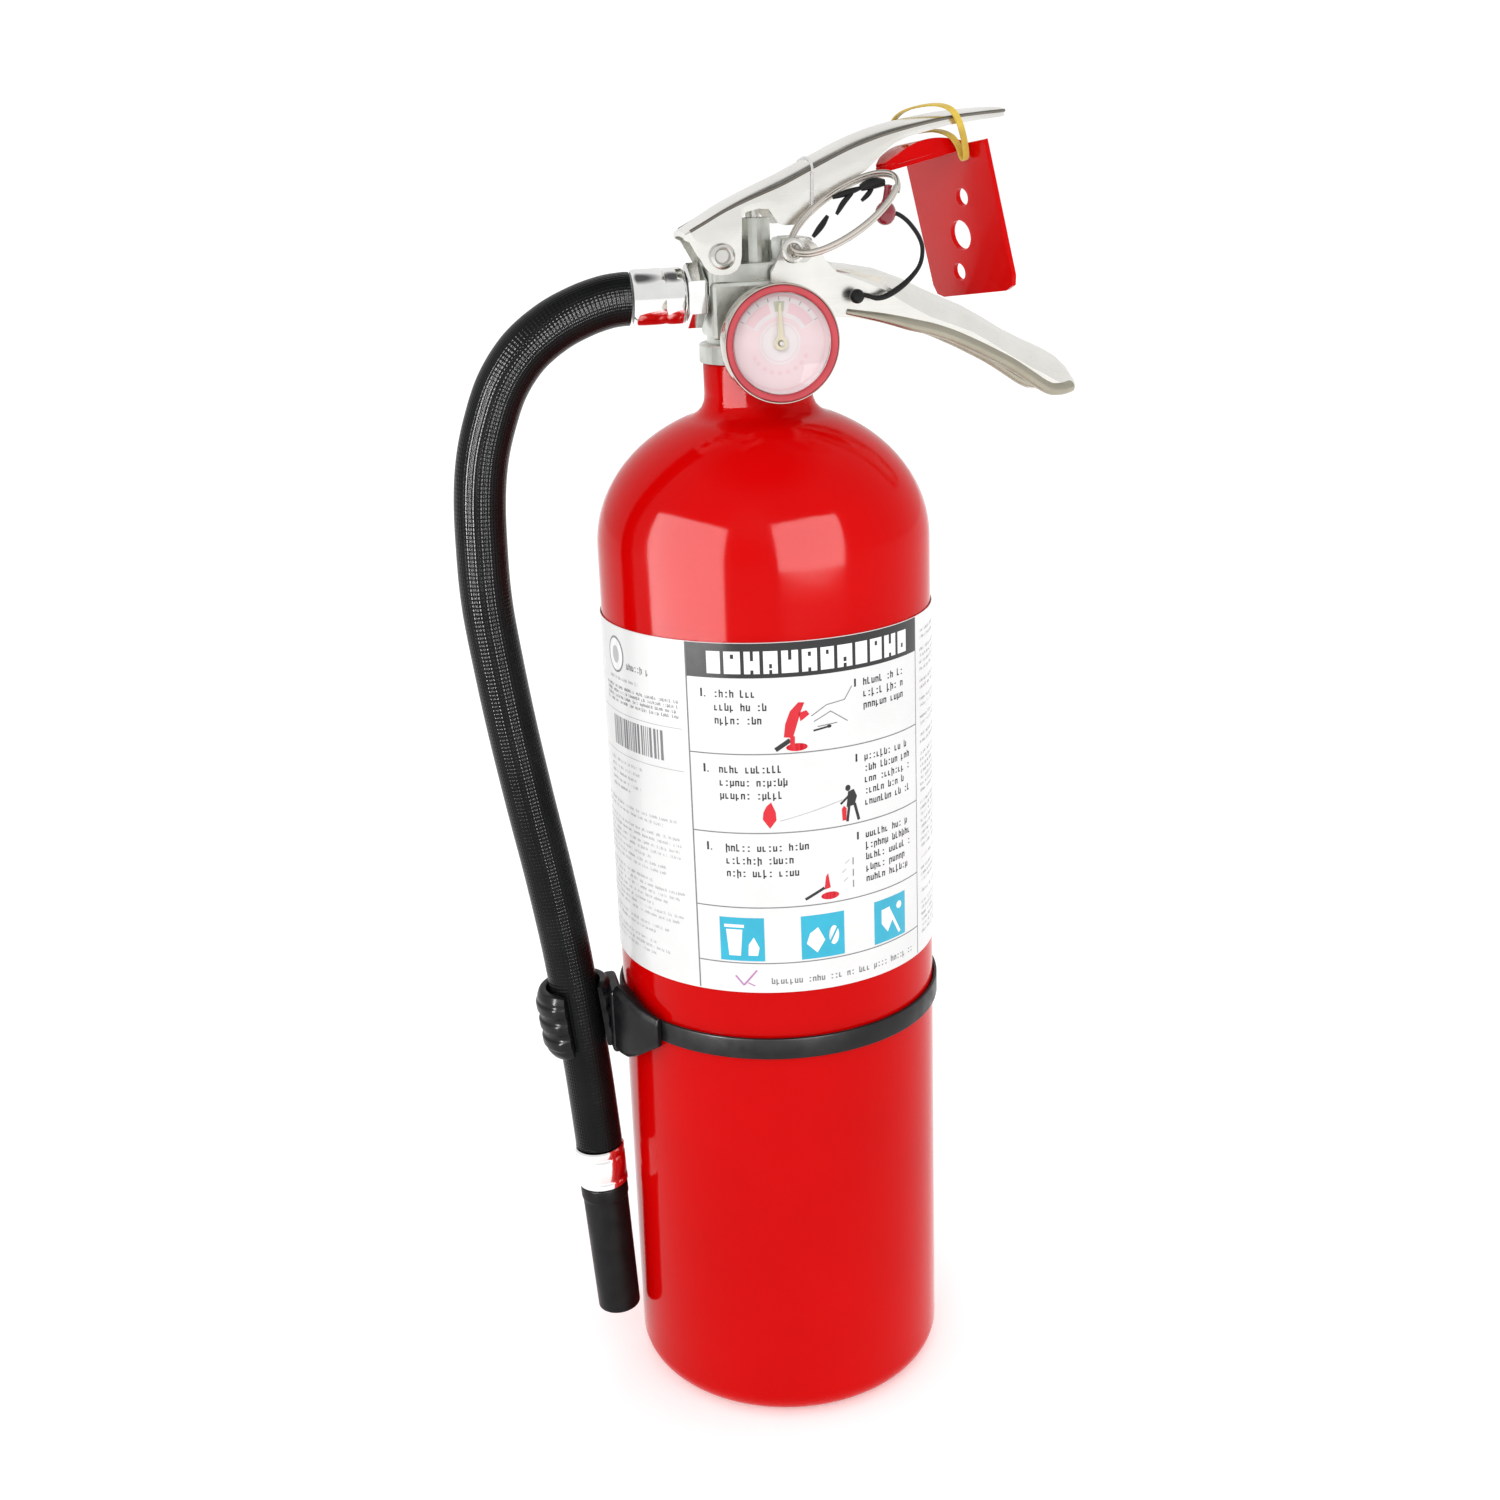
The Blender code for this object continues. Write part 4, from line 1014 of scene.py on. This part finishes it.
# ---- bracket tongue and its tie
# Across the bracket, out of its face, and up it
BR_W = Vector((0.341, -0.934, 0.104)).normalized()
BR_N = Vector((0.915, 0.355, 0.193))
BR_N = (BR_N - BR_W * BR_N.dot(BR_W)).normalized()
BR_UP = -BR_N.cross(BR_W).normalized()
if BR_UP.z < 0:
    BR_UP = -BR_UP
BR_TOP = Vector((73.9, 0.8, 490.8))
TIE_PIVOT = BR_TOP - (BR_UP + BR_N) * 3.6


def make_tongue():
    """The bowed strip that the pressed bracket hooks over a wall plate with."""
    sections = []
    count = 20
    for i in range(count + 1):
        t = i / count
        back = 0.2 + 30.0 * t
        half = 10.6 - 5.2 * t - 2.2 * max(0.0, t - 0.85) / 0.15
        rise = 1.35 + 4.2 * sin(pi * min(1.0, t * 0.98 + 0.02)) ** 0.9
        base = BR_TOP - BR_N * back + BR_UP * rise
        edge = [(-half, 0.5 - rise), (half, 0.5 - rise), (half, 0.6), (-half, 0.6)]
        sections.append([base + BR_W * s + BR_UP * h for s, h in edge])
    keep("bracket_tongue", loft(sections), PAINT, body="bracket", bevel=0.3, angle=50)


def make_tie():
    """A thin moulded strap looped over the lever and drawn together at the bracket's corner."""
    route = [(15.6, 1.6, 0), (16.6, 7.0, -0.4), (17.0, 13.4, -1.4), (15.2, 17.6, -2.4),
             (9.4, 20.1, -3.2), (0.0, 21.0, -3.8), (-9.0, 20.6, -4.2), (-15.6, 18.4, -4.4),
             (-18.2, 14.6, -4.4), (-14.6, 12.6, -4.0), (-6.0, 12.2, -3.2), (4.0, 11.4, -2.2),
             (10.4, 8.6, -1.2), (12.6, 4.6, -0.4), (13.0, 0.4, 0), (14.4, -0.6, 0)]
    run = catmull(route, 6, cyclic=True)
    count = len(run)
    sections = []
    for i, (s, h, n) in enumerate(run):
        d = run[(i + 1) % count] - run[i - 1]
        out = Vector((-d.y, d.x)).normalized() * 0.4
        base = TIE_PIVOT + BR_W * s + BR_UP * h + BR_N * n
        step = BR_W * out.x + BR_UP * out.y
        sections.append([base + step + BR_N * 1.3, base + step - BR_N * 1.3,
                         base - step - BR_N * 1.3, base - step + BR_N * 1.3])
    keep("tie_strap", loft(sections, closed=True), YELLOW, body="lever", hides=["bracket_tie"],
         bevel=0.2)


make_tongue()
make_tie()


# ---- materials of the CAD nodes
for node_name, node_mat, edge in (
        ("siphon_tube", DIP, 0), ("siphon_adapter", DIP, 0.2), ("valve_body", CAST, 0.4),
        ("neck_o_ring", RUBBER, 0), ("valve_stem", STEEL, 0.15), ("stem_seat_seal", RUBBER, 0.2),
        ("gauge_stem", BRASS, 0.2), ("bourdon_coil", BRASS, 0), ("gauge_pivot", STEEL, 0.1),
        ("gauge_needle", CREAM, 0.05), ("carry_handle", PLATE, 0.4), ("pull_pin", STEEL, 0.15),
        ("wall_bracket", PAINT, 0.35)):
    for material_slot in NODES[node_name].material_slots:
        material_slot.material = node_mat
    if edge:
        add_bevel(NODES[node_name], edge)

for piece_name in ("wall_bracket", "bracket_tongue"):
    bpy.data.objects[piece_name].visible_glossy = False


# ---- clear loop and stem spring
def make_clear_loop():
    """A clear seal loop round the lever, just ahead of the pin."""
    x, low = 19.4, 471.6
    outline = round_corners(arch_outline(12.0, low, 490.1, 4.6), 1.2, 3)
    bm, _ = tube([(x + 0.03 * (z - low), y, z) for y, z in outline], 0.5, 12, cyclic=True)
    keep("clear_loop", bm, CLEAR, body="lever", angle=60)


def make_spring():
    """The stem spring, on a mesh of its own; the real spring shortens as the lever is squeezed."""
    turns, steps = 6, 40
    total = turns * steps
    points = []
    for i in range(total + 1):
        a = 2 * pi * i / steps
        points.append((5.3 * cos(a), 5.3 * sin(a), 405.2 + 21.8 * i / total))
    bm, _ = tube(points, 0.65, 12)
    spring = keep("stem_spring", bm, STEEL, hides=["valve_spring"], angle=60)
    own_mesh(spring)


make_clear_loop()
make_spring()


# ---- floor, lights, world
def make_floor():
    made = Shader("floor_white", 0.0, 0.75, Specular_IOR_Level=0.1, Emission_Strength=0.28,
                  Emission_Color=(1.0, 1.0, 1.0, 1.0))
    made.colours(made.noise(1.5, 4.0), (LOW, (0.86, 0.86, 0.86)), (HIGH, (0.90, 0.90, 0.90)))
    made.bump(made.noise(90.0, 3.0), 0.0002, 0.2)
    mesh = bpy.data.meshes.new("floor")
    reach = 9.0
    corners = ((-1, -1), (1, -1), (1, 1), (-1, 1))
    mesh.from_pydata([(reach * x, reach * y, 0) for x, y in corners], [], [(0, 1, 2, 3)])
    mesh.materials.append(made.mat)
    placed("floor", mesh)


def area_light(name, at, target, size, power, only=(), roll=0.0):
    """A softbox. With pieces named in only, it is just an image in their gloss; with none, it
    lights matt surfaces and casts no image."""
    data = bpy.data.lights.new(name, "AREA")
    data.shape = "RECTANGLE"
    data.size, data.size_y = size
    data.energy = power
    light = placed(name, data)
    light.location = at
    aim = (Vector(target) - Vector(at)).to_track_quat("-Z", "Y")
    light.rotation_euler = (aim @ Quaternion((0, 0, 1), radians(roll))).to_euler()
    light.visible_diffuse = not only
    light.visible_glossy = bool(only)
    if only:
        group = bpy.data.collections.new(name + "_group")
        for piece in only:
            group.objects.link(bpy.data.objects[piece])
        light.light_linking.receiver_collection = group


def grey(value):
    return (value, value, value, 1.0)


def make_world():
    """Even white surroundings; gloss sees them darken overhead, as under a studio ceiling."""
    world = bpy.data.worlds.new("studio")
    bpy.context.scene.world = world
    world.use_nodes = True
    tree = world.node_tree
    back = tree.nodes["Background"]
    coord = tree.nodes.new("ShaderNodeTexCoord")
    split = tree.nodes.new("ShaderNodeSeparateXYZ")
    tree.links.new(coord.outputs["Generated"], split.inputs["Vector"])
    ramp = tree.nodes.new("ShaderNodeValToRGB")
    for element, (place, tone) in zip(ramp.color_ramp.elements, ((0.84, 0.92), (0.97, 0.10))):
        element.position = place
        element.color = grey(tone)
    tree.links.new(split.outputs["Z"], ramp.inputs["Fac"])
    path = tree.nodes.new("ShaderNodeLightPath")
    mix = tree.nodes.new("ShaderNodeMix")
    mix.data_type = "RGBA"
    colour = {socket.name: socket for socket in mix.inputs if socket.type == "RGBA"}
    colour["A"].default_value = grey(1.08)
    tree.links.new(ramp.outputs["Color"], colour["B"])
    tree.links.new(path.outputs["Is Glossy Ray"], mix.inputs["Factor"])
    result = next(socket for socket in mix.outputs if socket.type == "RGBA")
    tree.links.new(result, back.inputs["Color"])
    back.inputs["Strength"].default_value = 0.95


make_floor()
make_world()

# Lights: name, place, target, size, power, the pieces it is linked to, roll in degrees
LEFT = ((-1.015, -0.425, 0.50), (0, 0, 0.40), (1.2, 1.0))
RIGHT = ((0.39, -1.13, 0.62), (0, 0, 0.40), (1.05, 1.0))
ON_HOSE = (-0.1, 0, 0.30)
DULL = ["hose_line", "strap_band", "nozzle_tube", "clip_jaw", "clip_saddle", "buckle_wedge"]
area_light("softbox_left_paint", *LEFT, 110.0, ["cylinder_painted"])
area_light("softbox_right_paint", *RIGHT, 90.0, ["cylinder_painted"])
area_light("softbox_left_label", *LEFT, 17.0, ["label_wrap", "label_print_black"])
area_light("strip_left_black", (-1.0, -0.66, 0.50), ON_HOSE, (0.17, 1.1), 80.0, DULL)
area_light("strip_right_black", (0.16, -1.1, 0.50), ON_HOSE, (0.13, 1.1), 42.0, DULL)
area_light("softbox_bracket", (-0.274, 0.351, 0.360), (0.134, 0.099, 0.502), (0.24, 0.24), 0.8,
           ["wall_bracket"], -23.0)
area_light("softbox_key", (-0.6, -1.4, 1.3), (0, 0, 0.25), (0.8, 0.8), 6.0)
bpy.context.scene.view_settings.view_transform = "Standard"
